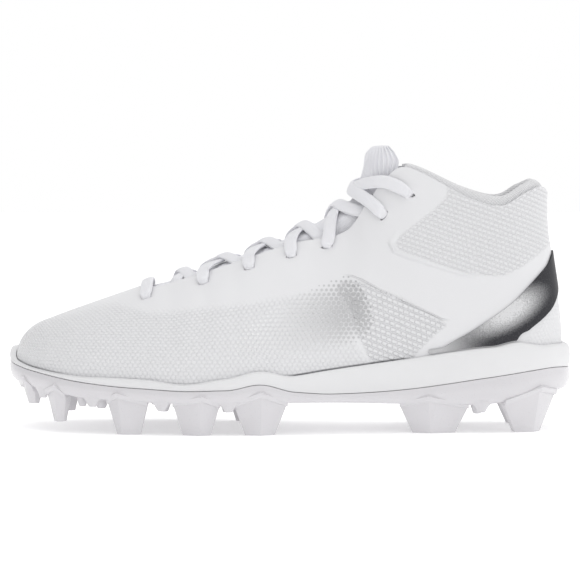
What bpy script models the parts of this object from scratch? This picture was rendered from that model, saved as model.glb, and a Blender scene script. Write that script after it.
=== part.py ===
"""American football cleat, left shoe, mid cut: a hollow upper on a moulded sole with blade studs.

Metres, +Z up. The toe points to -X, the outer (lateral) side to -Y and the inner (medial) side to +Y.
The studs stand on Z = 0. A place around the shoe is given by its turn: 0 at the toe tip, 1 at the
heel and 2 at the toe again, along the lateral side first.
"""

import math
from collections import namedtuple

import bmesh
import bpy
from mathutils import Vector

# Overall sizes of the last and the upper
LENGTH = 0.298
BALL_WIDTH = 0.098
COLLAR_WIDTH = 0.054
COLLAR_HEIGHT = 0.1385
HEEL_BED = 0.034
WALL = 0.0022
GAP = 0.0003

# Collar padding, tongue, insole and the band over the heel
PAD = 0.0062
PAD_LIP = 0.0036
TONGUE = 0.0042
TONGUE_TUCK = 0.11
INSOLE = 0.004
BAND = 0.0007

# Sole
RIM_HEIGHT = 0.0455
RIM = 0.0022
TOE_RIM = 0.0030
HEEL_WALL = 0.0052
SIDE_SWELL = 0.0034
SIDE_EDGE = 0.0031
LIP = 0.0030
PLATE = 0.0028
CHAMFER = 0.0040

# Studs
STUD_ROOT = 0.035
STUD_WIDTH = 0.0145
STUD_SINK = 0.0012
STUD_TAPER = 0.62
NUB = 0.0100
NUB_DROP = 0.0050

# Laces and eyelets
EYELET_LENGTH = 0.0058
EYELET_WIDTH = 0.0024
LACE_WIDTH = 0.0068
LACE_THICK = 0.0021
LACE_CLEAR = 0.0015
BAR_CLEAR = 0.0006
LACE_STEPS = 11
LACE_REACH = 0.42
LACE_STOP = 0.15
FIRST_TUCK = 0.45
END_TUCK = 0.20

# The lace's flattened section, in shares of its width and thickness, and what places its ends
LACE_FORM = [(-0.5, 0.0), (-0.34, 0.5), (0.34, 0.5), (0.5, 0.0), (0.34, -0.5), (-0.34, -0.5)]
LaceEnd = namedtuple("LaceEnd", "turn edge share")

# Number of sections along each side, and of rows from sole to collar
STATIONS = 42
CROWDING = 0.30
ROWS = 8
PAD_ROWS = 3
CROWN_ROWS = 6
THROAT_START = 0.225
PAD_START = 0.765

UPPER_LENGTH = LENGTH - TOE_RIM - HEEL_WALL
TOE_X = -LENGTH / 2 + TOE_RIM
SHEET = WALL + GAP

# The foot-bed outline. along is a share of the upper's length, outer and inner are shares of the
# ball width from the shoe's axis, and bed is a share of the foot bed's height at the heel.
Bed = namedtuple("Bed", "along outer inner bed")
BEDS = [
    Bed(0.00, -0.102, 0.102, 0.956),
    Bed(0.02, 0.095, 0.285, 0.935),
    Bed(0.06, 0.250, 0.385, 0.891),
    Bed(0.13, 0.378, 0.458, 0.809),
    Bed(0.22, 0.454, 0.490, 0.735),
    Bed(0.32, 0.510, 0.485, 0.706),
    Bed(0.42, 0.510, 0.429, 0.712),
    Bed(0.51, 0.467, 0.367, 0.747),
    Bed(0.60, 0.413, 0.324, 0.806),
    Bed(0.66, 0.388, 0.311, 0.847),
    Bed(0.72, 0.372, 0.316, 0.888),
    Bed(0.77, 0.367, 0.327, 0.921),
    Bed(0.83, 0.359, 0.335, 0.953),
    Bed(0.89, 0.337, 0.324, 0.979),
    Bed(0.94, 0.289, 0.286, 0.994),
    Bed(0.98, 0.186, 0.186, 1.000),
    Bed(1.00, 0.000, 0.000, 1.000),
]

# The top line: a narrow loop over the toes, then the edge of the throat and of the collar. from_bed
# says which section of the bed each row stands over, along and height are shares of the upper's
# length and the collar's height, outer and inner of the collar's width.
Top = namedtuple("Top", "from_bed along outer inner height")
TOPS = [
    Top(0.00, 0.0621, -0.167, 0.167, 0.414),
    Top(0.02, 0.0725, -0.065, 0.269, 0.423),
    Top(0.06, 0.1087, 0.019, 0.324, 0.447),
    Top(0.13, 0.1587, 0.102, 0.352, 0.481),
    Top(0.22, 0.2312, 0.185, 0.343, 0.527),
    Top(0.32, 0.3244, 0.250, 0.343, 0.585),
    Top(0.42, 0.4210, 0.306, 0.343, 0.651),
    Top(0.51, 0.5090, 0.343, 0.352, 0.713),
    Top(0.60, 0.6039, 0.380, 0.370, 0.758),
    Top(0.66, 0.6453, 0.407, 0.398, 0.870),
    Top(0.72, 0.6781, 0.435, 0.426, 0.962),
    Top(0.77, 0.7177, 0.463, 0.454, 1.000),
    Top(0.83, 0.8210, 0.500, 0.500, 0.893),
    Top(0.89, 0.8850, 0.490, 0.490, 0.857),
    Top(0.94, 0.9300, 0.405, 0.410, 0.902),
    Top(0.98, 0.9620, 0.255, 0.262, 0.926),
    Top(1.00, 0.9765, 0.000, 0.000, 0.899),
]

# The middle line of the instep, over the toes and then along the tongue's front.
Crown = namedtuple("Crown", "from_bed along height")
CROWNS = [
    Crown(0.00, 0.0621, 0.414),
    Crown(0.02, 0.0725, 0.4255),
    Crown(0.06, 0.1087, 0.454),
    Crown(0.13, 0.1587, 0.491),
    Crown(0.22, 0.2312, 0.544),
    Crown(0.32, 0.3244, 0.609),
    Crown(0.42, 0.4210, 0.683),
    Crown(0.51, 0.5038, 0.751),
    Crown(0.60, 0.5832, 0.845),
    Crown(0.66, 0.6125, 0.892),
    Crown(0.72, 0.6263, 0.953),
    Crown(0.77, 0.6310, 1.005),
    Crown(0.83, 0.6400, 1.060),
]
CROWN_PULL = 0.20

# How each section curves from bed to top line, as shares of its height or, for reach, of its span:
# rise and flare set the curve at the bed, reach, swell and drop the curve at the top line.
Form = namedtuple("Form", "from_bed rise flare reach swell drop")
FORMS = [
    Form(0.00, 0.60, 0.060, 0.50, 0.000, 0.06),
    Form(0.02, 0.58, 0.060, 0.49, 0.000, 0.07),
    Form(0.06, 0.56, 0.060, 0.48, 0.000, 0.09),
    Form(0.13, 0.55, 0.060, 0.48, 0.000, 0.12),
    Form(0.22, 0.50, 0.060, 0.45, 0.000, 0.15),
    Form(0.32, 0.46, 0.050, 0.45, 0.000, 0.17),
    Form(0.42, 0.42, 0.050, 0.42, 0.020, 0.20),
    Form(0.51, 0.38, 0.045, 0.40, 0.030, 0.24),
    Form(0.60, 0.36, 0.040, 0.38, 0.030, 0.27),
    Form(0.66, 0.34, 0.035, 0.36, 0.020, 0.28),
    Form(0.72, 0.33, 0.030, 0.33, 0.020, 0.30),
    Form(0.77, 0.32, 0.030, 0.33, 0.015, 0.32),
    Form(0.83, 0.32, 0.030, 0.35, 0.010, 0.33),
    Form(0.89, 0.32, 0.035, 0.35, 0.000, 0.33),
    Form(0.94, 0.32, 0.040, 0.30, -0.010, 0.33),
    Form(0.98, 0.32, 0.040, 0.10, -0.010, 0.33),
    Form(1.00, 0.32, 0.040, -0.10, -0.012, 0.33),
]

# The sole's side: the midsole's rim, the seam between midsole and outsole, and the outsole's lower
# edge, as shares of the rim's height at the heel.
Side = namedtuple("Side", "along rim seam low")
SIDES = [
    Side(0.000, 0.811, 0.767, 0.560),
    Side(0.047, 0.723, 0.690, 0.490),
    Side(0.120, 0.663, 0.603, 0.418),
    Side(0.194, 0.650, 0.550, 0.385),
    Side(0.250, 0.634, 0.530, 0.372),
    Side(0.320, 0.588, 0.508, 0.362),
    Side(0.395, 0.655, 0.519, 0.358),
    Side(0.496, 0.667, 0.500, 0.365),
    Side(0.578, 0.740, 0.466, 0.363),
    Side(0.707, 0.850, 0.506, 0.341),
    Side(0.853, 0.980, 0.633, 0.330),
    Side(0.963, 1.000, 0.734, 0.440),
    Side(1.000, 0.998, 0.714, 0.473),
]

# Crests of the side lines: centre and half length as shares of the upper's length, rises in shares
# of the rim's height.
Crest = namedtuple("Crest", "along half rim seam low")
CRESTS = [
    Crest(0.451, 0.062, 0.072, 0.070, 0.040),
    Crest(0.912, 0.045, 0.044, 0.000, 0.000),
]
GUARD_TURN = 1.955
GUARD_HALF = 0.10
GUARD_RISE = 0.14

# The top of the tongue above the throat: the middle and the side edges of each section.
Peak = namedtuple("Peak", "along height edge_along edge_height half")
PEAKS = [
    Peak(0.6320, 0.9950, 0.7000, 1.000, 0.400),
    Peak(0.6360, 1.0480, 0.6960, 1.048, 0.352),
    Peak(0.6470, 1.0760, 0.6850, 1.078, 0.270),
]

# Blade studs of each side: the section at the centre, the length at root and tip and the height of
# the tip as shares of the longest root, where the side's upright edge stands, and the width.
Stud = namedtuple("Stud", "along root tip edge lift width")
OUTER_STUDS = [
    Stud(0.028, 0.36, 0.23, 0.55, 0.400, 0.60),
    Stud(0.082, 0.35, 0.18, 0.61, 0.160, 0.66),
    Stud(0.212, 0.60, 0.36, 0.30, 0.000, 0.86),
    Stud(0.337, 0.67, 0.42, 0.61, 0.000, 0.92),
    Stud(0.453, 0.77, 0.45, 0.49, 0.000, 0.92),
    Stud(0.764, 1.00, 0.64, 0.41, 0.000, 1.00),
    Stud(0.940, 0.88, 0.44, 0.59, 0.000, 1.00),
]
INNER_STUDS = [
    Stud(0.027, 0.31, 0.19, 0.55, 0.400, 0.60),
    Stud(0.086, 0.35, 0.18, 0.61, 0.160, 0.66),
    Stud(0.203, 0.60, 0.36, 0.30, 0.000, 0.86),
    Stud(0.322, 0.67, 0.42, 0.61, 0.000, 0.92),
    Stud(0.434, 0.77, 0.45, 0.49, 0.000, 0.92),
    Stud(0.770, 1.00, 0.64, 0.41, 0.000, 1.00),
    Stud(0.940, 0.88, 0.44, 0.59, 0.000, 1.00),
]

# Small nubs between the studs: their place as shares of the upper's length and of the ball width
# from the shoe's axis, and their size as a share of the full one.
Nub = namedtuple("Nub", "along across size")
NUBS = [
    Nub(0.130, -0.300, 0.80),
    Nub(0.165, -0.330, 1.00),
    Nub(0.278, -0.380, 1.00),
    Nub(0.392, -0.380, 1.00),
    Nub(0.130, 0.340, 0.80),
    Nub(0.160, 0.370, 1.00),
    Nub(0.262, 0.390, 1.00),
    Nub(0.375, 0.330, 1.00),
    Nub(0.150, 0.030, 1.10),
    Nub(0.260, 0.020, 1.20),
    Nub(0.370, -0.030, 1.20),
    Nub(0.842, -0.290, 0.90),
    Nub(0.842, 0.270, 0.90),
]

# Eyelets from toe to collar: the section they stand on, how far below the top line they sit, as a
# share of the collar's height, and the section at which their lace passes over the top line.
Eyelet = namedtuple("Eyelet", "along drop edge")
EYELETS = [
    Eyelet(0.236, 0.030, 0.236),
    Eyelet(0.345, 0.036, 0.345),
    Eyelet(0.430, 0.038, 0.430),
    Eyelet(0.507, 0.044, 0.507),
    Eyelet(0.567, 0.034, 0.572),
    Eyelet(0.700, 0.117, 0.662),
    Eyelet(0.765, 0.105, 0.708),
]

# The silver band's lower and upper edge on each side, from its front tip to the heel.
Band = namedtuple("Band", "along low high")
BANDS = [
    Band(0.755, 0.000, 0.310),
    Band(0.810, 0.000, 0.360),
    Band(0.860, 0.000, 0.425),
    Band(0.910, 0.340, 0.500),
    Band(0.934, 0.389, 0.548),
    Band(0.957, 0.426, 0.592),
    Band(0.976, 0.463, 0.627),
    Band(0.992, 0.510, 0.665),
    Band(1.000, 0.550, 0.680),
]


def turn_of(along):
    """The turn, on the lateral side, of a share of the length: sections crowd toward both ends."""
    return 2.0 / math.pi * math.asin(math.sqrt(along))


def along_of(turn):
    """The share of the length at a turn, on either side."""
    return math.sin(math.pi * turn / 2.0) ** 2


class Loop:
    """A smooth closed curve around the shoe through a value for each side at each table row."""

    def __init__(self, rows, outer, inner):
        keys = [turn_of(row[0]) for row in rows]
        self.keys = keys + [2.0 - key for key in reversed(keys[1:-1])]
        self.values = [outer(row) for row in rows] + [inner(row) for row in reversed(rows[1:-1])]

    def slope(self, i):
        count = len(self.keys)
        before = self.keys[(i - 1) % count] - (2.0 if i == 0 else 0.0)
        after = self.keys[(i + 1) % count] + (2.0 if i == count - 1 else 0.0)
        return (self.values[(i + 1) % count] - self.values[(i - 1) % count]) / (after - before)

    def at(self, turn):
        turn = turn % 2.0
        count = len(self.keys)
        i = max(k for k in range(count) if self.keys[k] <= turn + 1e-12)
        j = (i + 1) % count
        span = (self.keys[j] if j else 2.0) - self.keys[i]
        f = (turn - self.keys[i]) / span
        a, b = self.values[i], self.values[j]
        ma, mb = self.slope(i) * span, self.slope(j) * span
        return ((2 * f**3 - 3 * f**2 + 1) * a + (f**3 - 2 * f**2 + f) * ma
                + (3 * f**2 - 2 * f**3) * b + (f**3 - f**2) * mb)


def even(rows, column):
    """A curve with the same value on both sides."""
    return Loop(rows, lambda row: getattr(row, column), lambda row: getattr(row, column))


def across(rows):
    """The curve of the distance from the shoe's axis, negative on the lateral side."""
    return Loop(rows, lambda row: -row.outer, lambda row: row.inner)


BED_ACROSS = across(BEDS)
BED_HEIGHT = even(BEDS, "bed")
TOP_ALONG = even(TOPS, "along")
TOP_ACROSS = across(TOPS)
TOP_HEIGHT = even(TOPS, "height")
CROWN_ALONG = even(CROWNS, "along")
CROWN_HEIGHT = even(CROWNS, "height")
RISE = even(FORMS, "rise")
FLARE = even(FORMS, "flare")
REACH = even(FORMS, "reach")
SWELL = even(FORMS, "swell")
DROP = even(FORMS, "drop")
SIDE_RIM = even(SIDES, "rim")
SIDE_SEAM = even(SIDES, "seam")
SIDE_LOW = even(SIDES, "low")
BAND_LOW = even(BANDS, "low")
BAND_HIGH = even(BANDS, "high")


def x_at(along):
    return TOE_X + UPPER_LENGTH * along


def bed_height(turn):
    return HEEL_BED * BED_HEIGHT.at(turn)


def bed_point(turn, height=0.0):
    """A point of the foot-bed outline, at a height above the bed."""
    across_bed = BALL_WIDTH * BED_ACROSS.at(turn)
    return Vector((x_at(along_of(turn)), across_bed, bed_height(turn) + height))


def out_direction(turn):
    """The level direction that points straight out of the foot-bed outline."""
    step = bed_point(turn + 1e-3) - bed_point(turn - 1e-3)
    return Vector((step.y, -step.x, 0.0)).normalized()


def top_point(turn):
    """A point of the top line."""
    return Vector((x_at(TOP_ALONG.at(turn)), COLLAR_WIDTH * TOP_ACROSS.at(turn),
                   COLLAR_HEIGHT * TOP_HEIGHT.at(turn)))


def section(turn):
    """The four control points of the curve from foot bed to top line."""
    base = bed_point(turn, GAP)
    top = top_point(turn)
    height = top.z - base.z
    out = out_direction(turn)
    span = Vector((base.x - top.x, base.y - top.y, 0.0))
    low = base + out * (FLARE.at(turn) * height) + Vector((0, 0, RISE.at(turn) * height))
    high = top + span * REACH.at(turn) + out * (SWELL.at(turn) * height)
    high.z -= DROP.at(turn) * height
    return base, low, high, top


def on_curve(points, t):
    """A point of a cubic Bezier curve."""
    a, b, c, d = points
    u = 1.0 - t
    return a * u**3 + b * (3 * u * u * t) + c * (3 * u * t * t) + d * t**3


def upper_point(turn, t, offset=0.0):
    """A point of the upper's outer face, t from 0 at the bed to 1 at the top line, moved outward."""
    here = on_curve(section(turn), t)
    if offset == 0.0:
        return here
    low, high = (t - 0.01, t) if t > 0.5 else (t, t + 0.01)
    up = on_curve(section(turn), high) - on_curve(section(turn), low)
    round_shoe = on_curve(section(turn + 2e-3), t) - on_curve(section(turn - 2e-3), t)
    return here + up.cross(round_shoe).normalized() * -offset


def height_share(turn, height):
    """The share of the way up a section at which the upper reaches a height."""
    points = section(turn)
    low, high = 0.0, 1.0
    for _ in range(24):
        middle = (low + high) / 2
        if on_curve(points, middle).z < height:
            low = middle
        else:
            high = middle
    return (low + high) / 2


def crown_point(turn, v, offset=0.0):
    """A point over the instep between the two top edges, v from 0 at the lateral to 1 at the medial."""
    left, right = top_point(turn), top_point(2.0 - turn)
    middle = Vector((x_at(CROWN_ALONG.at(turn)), (left.y + right.y) / 2,
                     COLLAR_HEIGHT * CROWN_HEIGHT.at(turn)))
    bulge = (middle - (left + right) / 2) * (4.0 / 3.0)
    pull = (right - left) * CROWN_PULL
    curve = (left, left + bulge + pull, right + bulge - pull, right)
    here = on_curve(curve, v)
    if offset == 0.0:
        return here
    step = on_curve(curve, min(1.0, v + 0.02)) - on_curve(curve, max(0.0, v - 0.02))
    along = crown_point(turn + 4e-3, v) - crown_point(turn - 4e-3, v)
    return here + along.cross(step).normalized() * offset


def bump(distance, half):
    """A smooth hump, 1 in its middle and 0 from half its length on."""
    return math.cos(math.pi / 2 * distance / half) ** 2 if abs(distance) < half else 0.0


def side_height(line, column, turn):
    """The height of a line of the sole's side, with its crests and the guard around the toe."""
    share = line.at(turn)
    share += sum(getattr(crest, column) * bump(along_of(turn) - crest.along, crest.half) for crest in CRESTS)
    if column != "low":
        distance = (turn - GUARD_TURN + 1.0) % 2.0 - 1.0
        share += GUARD_RISE * bump(distance, GUARD_HALF)
    return RIM_HEIGHT * share


def rim_height(turn):
    return side_height(SIDE_RIM, "rim", turn)


def seam_height(turn):
    return side_height(SIDE_SEAM, "seam", turn)


def low_height(turn):
    return side_height(SIDE_LOW, "low", turn)


def plate_height(turn):
    """The upper face of the outsole's plate, always a little under the seam."""
    return min(low_height(turn) + PLATE, seam_height(turn) - 2 * GAP)


def heelward(turn):
    """Grows from 0 at the waist to 1 at the back of the heel."""
    share = (along_of(turn) - 0.6) / 0.4
    return max(0.0, share) ** 2


def side_point(turn, out, height):
    """A point beside the foot-bed outline at a distance out from it and a height over the floor."""
    place = bed_point(turn) + out_direction(turn) * out
    place.z = height
    return place


TURNS = [k / STATIONS + CROWDING * math.sin(2 * math.pi * k / STATIONS) / (2 * math.pi)
         for k in range(2 * STATIONS)]
THROAT = min(range(STATIONS), key=lambda k: abs(TURNS[k] - turn_of(THROAT_START)))
COLLAR_FRONT = min(range(STATIONS), key=lambda k: abs(TURNS[k] - turn_of(PAD_START)))
TONGUE_END = max(k for k in range(STATIONS) if TURNS[k] <= turn_of(CROWNS[-3].from_bed))


def make_material(name, color, roughness, metallic=0.0):
    """A plain Principled material."""
    material = bpy.data.materials.new(name)
    material.use_nodes = True
    shader = material.node_tree.nodes["Principled BSDF"]
    shader.inputs["Base Color"].default_value = (*color, 1.0)
    shader.inputs["Roughness"].default_value = roughness
    shader.inputs["Metallic"].default_value = metallic
    return material


def add_object(name, mesh_data, collection, material=None):
    """An object for a mesh, in a collection, shaded smooth with sharp edges kept."""
    thing = bpy.data.objects.new(name, mesh_data)
    collection.objects.link(thing)
    if material:
        mesh_data.materials.append(material)
    mesh_data.shade_smooth()
    mesh_data.set_sharp_from_angle(angle=math.radians(40))
    return thing


def mesh_from(builder, name):
    """A mesh filled by a function that adds its faces to a bmesh, all facing out."""
    bm = bmesh.new()
    builder(bm)
    bmesh.ops.recalc_face_normals(bm, faces=bm.faces)
    mesh = bpy.data.meshes.new(name)
    bm.to_mesh(mesh)
    bm.free()
    return mesh


def add_face(bm, corners):
    """A face through its corners, each taken once, so that two equal corners make a triangle."""
    bm.faces.new([corner for k, corner in enumerate(corners) if corner not in corners[:k]])


def fill_between(bm, first, second, closed):
    """A strip of faces between two rows of vertices."""
    count = len(first)
    for i in range(count if closed else count - 1):
        j = (i + 1) % count
        add_face(bm, [first[i], first[j], second[j], second[i]])


def close_across(bm, ring):
    """A lid over a ring around the shoe, one strip for each pair of facing sections."""
    count = len(ring)
    for i in range(count // 2):
        add_face(bm, [ring[i], ring[i + 1], ring[(count - i - 1) % count], ring[(count - i) % count]])


def ringed_mesh(rings, name):
    """A closed mesh from rings around the shoe, with a lid over the first and the last."""

    def build(bm):
        rows = [[bm.verts.new(point) for point in ring] for ring in rings]
        for lower, higher in zip(rows, rows[1:]):
            fill_between(bm, lower, higher, closed=True)
        close_across(bm, rows[0])
        close_across(bm, rows[-1])

    return mesh_from(build, name)


def swept_mesh(sections, name):
    """A closed mesh from closed sections along a path, with flat ends."""

    def build(bm):
        rows = [[bm.verts.new(point) for point in points] for points in sections]
        for here, there in zip(rows, rows[1:]):
            fill_between(bm, here, there, closed=True)
        bm.faces.new(rows[0])
        bm.faces.new(rows[-1])

    return mesh_from(build, name)


def join_by_union(base, others):
    """Boolean unions of other objects into a base, which are then removed."""
    for other in others:
        union = base.modifiers.new("join " + other.name, "BOOLEAN")
        union.operation = "UNION"
        union.solver = "EXACT"
        union.object = other
    bpy.context.view_layer.update()
    joined = bpy.data.meshes.new_from_object(base.evaluated_get(bpy.context.evaluated_depsgraph_get()))
    base.modifiers.clear()
    base.data = joined
    for other in others:
        bpy.data.objects.remove(other)


def make_upper(collection, cutters, material):
    """The shell of the shoe: an open surface thickened inward, with the eyelets cut through."""

    def build(bm):
        rows = [[bm.verts.new(upper_point(turn, i / ROWS)) for turn in TURNS] for i in range(ROWS + 1)]
        for lower, higher in zip(rows, rows[1:]):
            fill_between(bm, lower, higher, closed=True)
        edge = rows[-1]
        before = [edge[0]] * (CROWN_ROWS + 1)
        for k in range(1, THROAT + 1):
            inside = [bm.verts.new(crown_point(TURNS[k], i / CROWN_ROWS)) for i in range(1, CROWN_ROWS)]
            line = [edge[k], *inside, edge[-k]]
            fill_between(bm, before, line, closed=False)
            before = line

    upper = add_object("upper", mesh_from(build, "upper"), collection, material)
    shell = upper.modifiers.new("wall", "SOLIDIFY")
    shell.thickness = WALL
    shell.offset = -1.0
    shell.use_even_offset = True
    cut = upper.modifiers.new("eyelets", "BOOLEAN")
    cut.operation = "DIFFERENCE"
    cut.solver = "EXACT"
    cut.object = make_eyelet_cutters(cutters)
    return upper


def eyelet_place(eyelet, inner_side):
    """The turn and the share up the section of an eyelet."""
    turn = turn_of(eyelet.along)
    turn = 2.0 - turn if inner_side else turn
    return turn, height_share(turn, top_point(turn).z - eyelet.drop * COLLAR_HEIGHT)


def make_eyelet_cutters(cutters):
    """Rounded slits through the wall, long side along the top line."""

    def build(bm):
        for eyelet in EYELETS:
            for inner_side in (False, True):
                turn, t = eyelet_place(eyelet, inner_side)
                inside, outside = upper_point(turn, t, -2 * WALL), upper_point(turn, t, 2 * WALL)
                axis = (outside - inside).normalized()
                along = top_point(turn + 0.01) - top_point(turn - 0.01)
                along = (along - axis * along.dot(axis)).normalized()
                width = axis.cross(along)
                ends = []
                for centre in (inside, outside):
                    ring = []
                    for k in range(8):
                        angle = math.pi / 8 + k * math.pi / 4
                        ring.append(bm.verts.new(centre + along * (EYELET_LENGTH / 2 * math.cos(angle))
                                                 + width * (EYELET_WIDTH / 2 * math.sin(angle))))
                    ends.append(ring)
                fill_between(bm, ends[0], ends[1], closed=True)
                bm.faces.new(ends[0])
                bm.faces.new(ends[1])

    cutter = add_object("eyelet_cutters", mesh_from(build, "eyelet_cutters"), cutters)
    cutter.hide_render = True
    cutter.display_type = "WIRE"
    return cutter


def make_collar(collection, material):
    """The padded lining inside the collar, with a rolled lip that shows above its edge."""
    sections = []
    rows = range(ROWS - PAD_ROWS, ROWS + 1)
    for k in range(COLLAR_FRONT, 2 * STATIONS - COLLAR_FRONT + 1):
        turn = TURNS[k]
        lip = Vector((0, 0, PAD_LIP))
        points = [upper_point(turn, i / ROWS, -SHEET) for i in rows]
        points.append(upper_point(turn, 1.0, -SHEET - PAD * 0.20) + lip * 0.85)
        points.append(upper_point(turn, 1.0, -SHEET - PAD * 0.65) + lip)
        for i in reversed(rows):
            full = (i - rows[0]) / PAD_ROWS
            points.append(upper_point(turn, i / ROWS, -SHEET - PAD * (0.3 + 0.7 * full ** 0.5)))
        sections.append(points)
    return add_object("collar_lining", swept_mesh(sections, "collar_lining"), collection, material)


def tongue_line(turn, depth):
    """A row of the tongue from one tucked edge over the instep to the other, at a depth."""
    other = 2.0 - turn
    tuck = 1.0 - TONGUE_TUCK
    lateral = [upper_point(turn, t, -depth) for t in (tuck, (tuck + 1.0) / 2)]
    medial = [upper_point(other, t, -depth) for t in ((tuck + 1.0) / 2, tuck)]
    over = [crown_point(turn, i / CROWN_ROWS, -depth) for i in range(CROWN_ROWS + 1)]
    return lateral + over + medial


def peak_line(peak, depth):
    """A row of the tongue's free top, which bends forward around the shin."""
    half = COLLAR_WIDTH * peak.half
    count = CROWN_ROWS + 4
    row = []
    for i in range(count + 1):
        angle = math.pi * (i / count - 0.5)
        across_row = (half - depth) * math.sin(angle)
        lean = math.cos(angle)
        along = peak.edge_along + (peak.along - peak.edge_along) * lean
        height = peak.edge_height + (peak.height - peak.edge_height) * lean
        row.append(Vector((x_at(along) + depth * lean, across_row, COLLAR_HEIGHT * height)))
    return row


def make_tongue(collection, material):
    """A padded sheet under the throat's edges that rises free above them."""
    outer, inner = [], []
    for k in range(THROAT - 2, TONGUE_END + 1):
        outer.append(tongue_line(TURNS[k], SHEET))
        inner.append(tongue_line(TURNS[k], SHEET + TONGUE))
    for peak in PEAKS:
        outer.append(peak_line(peak, SHEET))
        inner.append(peak_line(peak, SHEET + TONGUE))
    sections = [front + back[::-1] for front, back in zip(outer, inner)]
    return add_object("tongue", swept_mesh(sections, "tongue"), collection, material)


def make_insole(collection, material):
    """The foot bed's liner, just inside the upper's wall."""
    inset = -(SHEET + GAP)
    rings = []
    for height in (GAP, INSOLE):
        ring = []
        for turn in TURNS:
            place = upper_point(turn, 0.0, inset)
            place.z = bed_height(turn) + height
            ring.append(place)
        rings.append(ring)
    return add_object("insole", ringed_mesh(rings, "insole"), collection, material)


def side_edge(turn):
    """How far the outsole's edge stands out from the foot-bed outline."""
    return SIDE_EDGE + (HEEL_WALL - SIDE_EDGE) * 0.75 * heelward(turn)


def side_swell(turn):
    """How far the midsole's side swells out from the foot-bed outline."""
    return SIDE_SWELL + (HEEL_WALL - SIDE_SWELL) * heelward(turn)


def make_midsole(collection, material):
    """A cup with a raised rim around the upper, seated in the outsole's lip."""
    rings = [[] for _ in range(8)]
    for turn in TURNS:
        seam, rim = seam_height(turn), rim_height(turn)
        edge = side_edge(turn)
        at_rim = upper_point(turn, height_share(turn, rim), GAP)
        out = out_direction(turn)
        rim_outside = at_rim + out * RIM
        rings[0].append(side_point(turn, edge - LIP - GAP, plate_height(turn) + GAP))
        rings[1].append(side_point(turn, edge - LIP - GAP, seam + GAP))
        rings[2].append(side_point(turn, edge - GAP, seam + GAP))
        swell = side_point(turn, side_swell(turn), seam + (rim - seam) * 0.45)
        rings[3].append(swell)
        shoulder = (rim_outside + swell) / 2 + out * GAP
        shoulder.z = rim - (rim - seam) * 0.14
        rings[4].append(shoulder)
        rings[5].append(rim_outside)
        rings[6].append(at_rim)
        foot = upper_point(turn, 0.0, GAP)
        foot.z = bed_height(turn)
        rings[7].append(foot)
    return add_object("midsole", ringed_mesh(rings, "midsole"), collection, material)


def plate_under(x):
    """The height of the plate's lower face at a place along the shoe."""
    share = (x - TOE_X) / UPPER_LENGTH
    return low_height(turn_of(min(1.0, max(0.0, share))))


def stud_mesh(stud, inner_side):
    """A blade with five upright faces, narrowing from its root in the plate to its tip."""
    turn = turn_of(stud.along)
    turn = 2.0 - turn if inner_side else turn
    out = out_direction(turn)
    heading = Vector((-out.y, out.x, 0.0))
    heading = heading if heading.x > 0 else -heading
    width = STUD_WIDTH * stud.width
    centre = side_point(turn, side_edge(turn) - CHAMFER * 0.35 - width * 0.5, 0.0)
    outline = [
        (-0.50, 0.10), (stud.edge - 0.50, 0.50), (0.50, 0.10), (0.46, -0.34), (0.0, -0.50), (-0.46, -0.34),
    ]
    tip, root = [], []
    for a, b in outline:
        low = centre + heading * (a * stud.tip * STUD_ROOT) + out * (b * width * STUD_TAPER)
        high = centre + heading * (a * stud.root * STUD_ROOT) + out * (b * width)
        low.z = stud.lift * STUD_ROOT
        high.z = plate_under(high.x) + STUD_SINK
        tip.append(low)
        root.append(high)
    return swept_mesh([tip, root], "stud")


def nub_mesh(nub):
    """A low six-sided nub on the plate."""
    bm = bmesh.new()
    top = low_height(turn_of(nub.along)) + STUD_SINK
    radius = NUB * nub.size / 2
    bmesh.ops.create_cone(bm, cap_ends=True, segments=6, radius1=radius * 0.5, radius2=radius,
                          depth=NUB_DROP + STUD_SINK)
    centre = Vector((x_at(nub.along), BALL_WIDTH * nub.across, top - (NUB_DROP + STUD_SINK) / 2))
    bmesh.ops.translate(bm, verts=bm.verts, vec=centre)
    mesh = bpy.data.meshes.new("nub")
    bm.to_mesh(mesh)
    bm.free()
    return mesh


def make_outsole(collection, material):
    """The moulded plate with its raised lip, blade studs and nubs, all one piece."""
    rings = [[] for _ in range(6)]
    for turn in TURNS:
        seam, low, edge = seam_height(turn), low_height(turn), side_edge(turn)
        rings[0].append(side_point(turn, edge - CHAMFER, low))
        rings[1].append(side_point(turn, edge - CHAMFER * 0.3, low + (seam - low) * 0.12))
        rings[2].append(side_point(turn, edge + GAP, low + (seam - low) * 0.55))
        rings[3].append(side_point(turn, edge, seam))
        rings[4].append(side_point(turn, edge - LIP, seam))
        rings[5].append(side_point(turn, edge - LIP, plate_height(turn)))
    outsole = add_object("outsole", ringed_mesh(rings, "outsole"), collection, material)
    lugs = [stud_mesh(stud, False) for stud in OUTER_STUDS]
    lugs += [stud_mesh(stud, True) for stud in INNER_STUDS]
    lugs += [nub_mesh(nub) for nub in NUBS]
    join_by_union(outsole, [add_object(f"lug_{i}", lug, collection) for i, lug in enumerate(lugs)])
    return outsole


def band_height(turn, edge):
    """The height of the band's lower or upper edge, kept clear of the midsole's rim."""
    line = BAND_LOW if edge == "low" else BAND_HIGH
    return max(COLLAR_HEIGHT * line.at(turn), rim_height(turn) + 3 * GAP + (edge == "high") * RIM)


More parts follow.
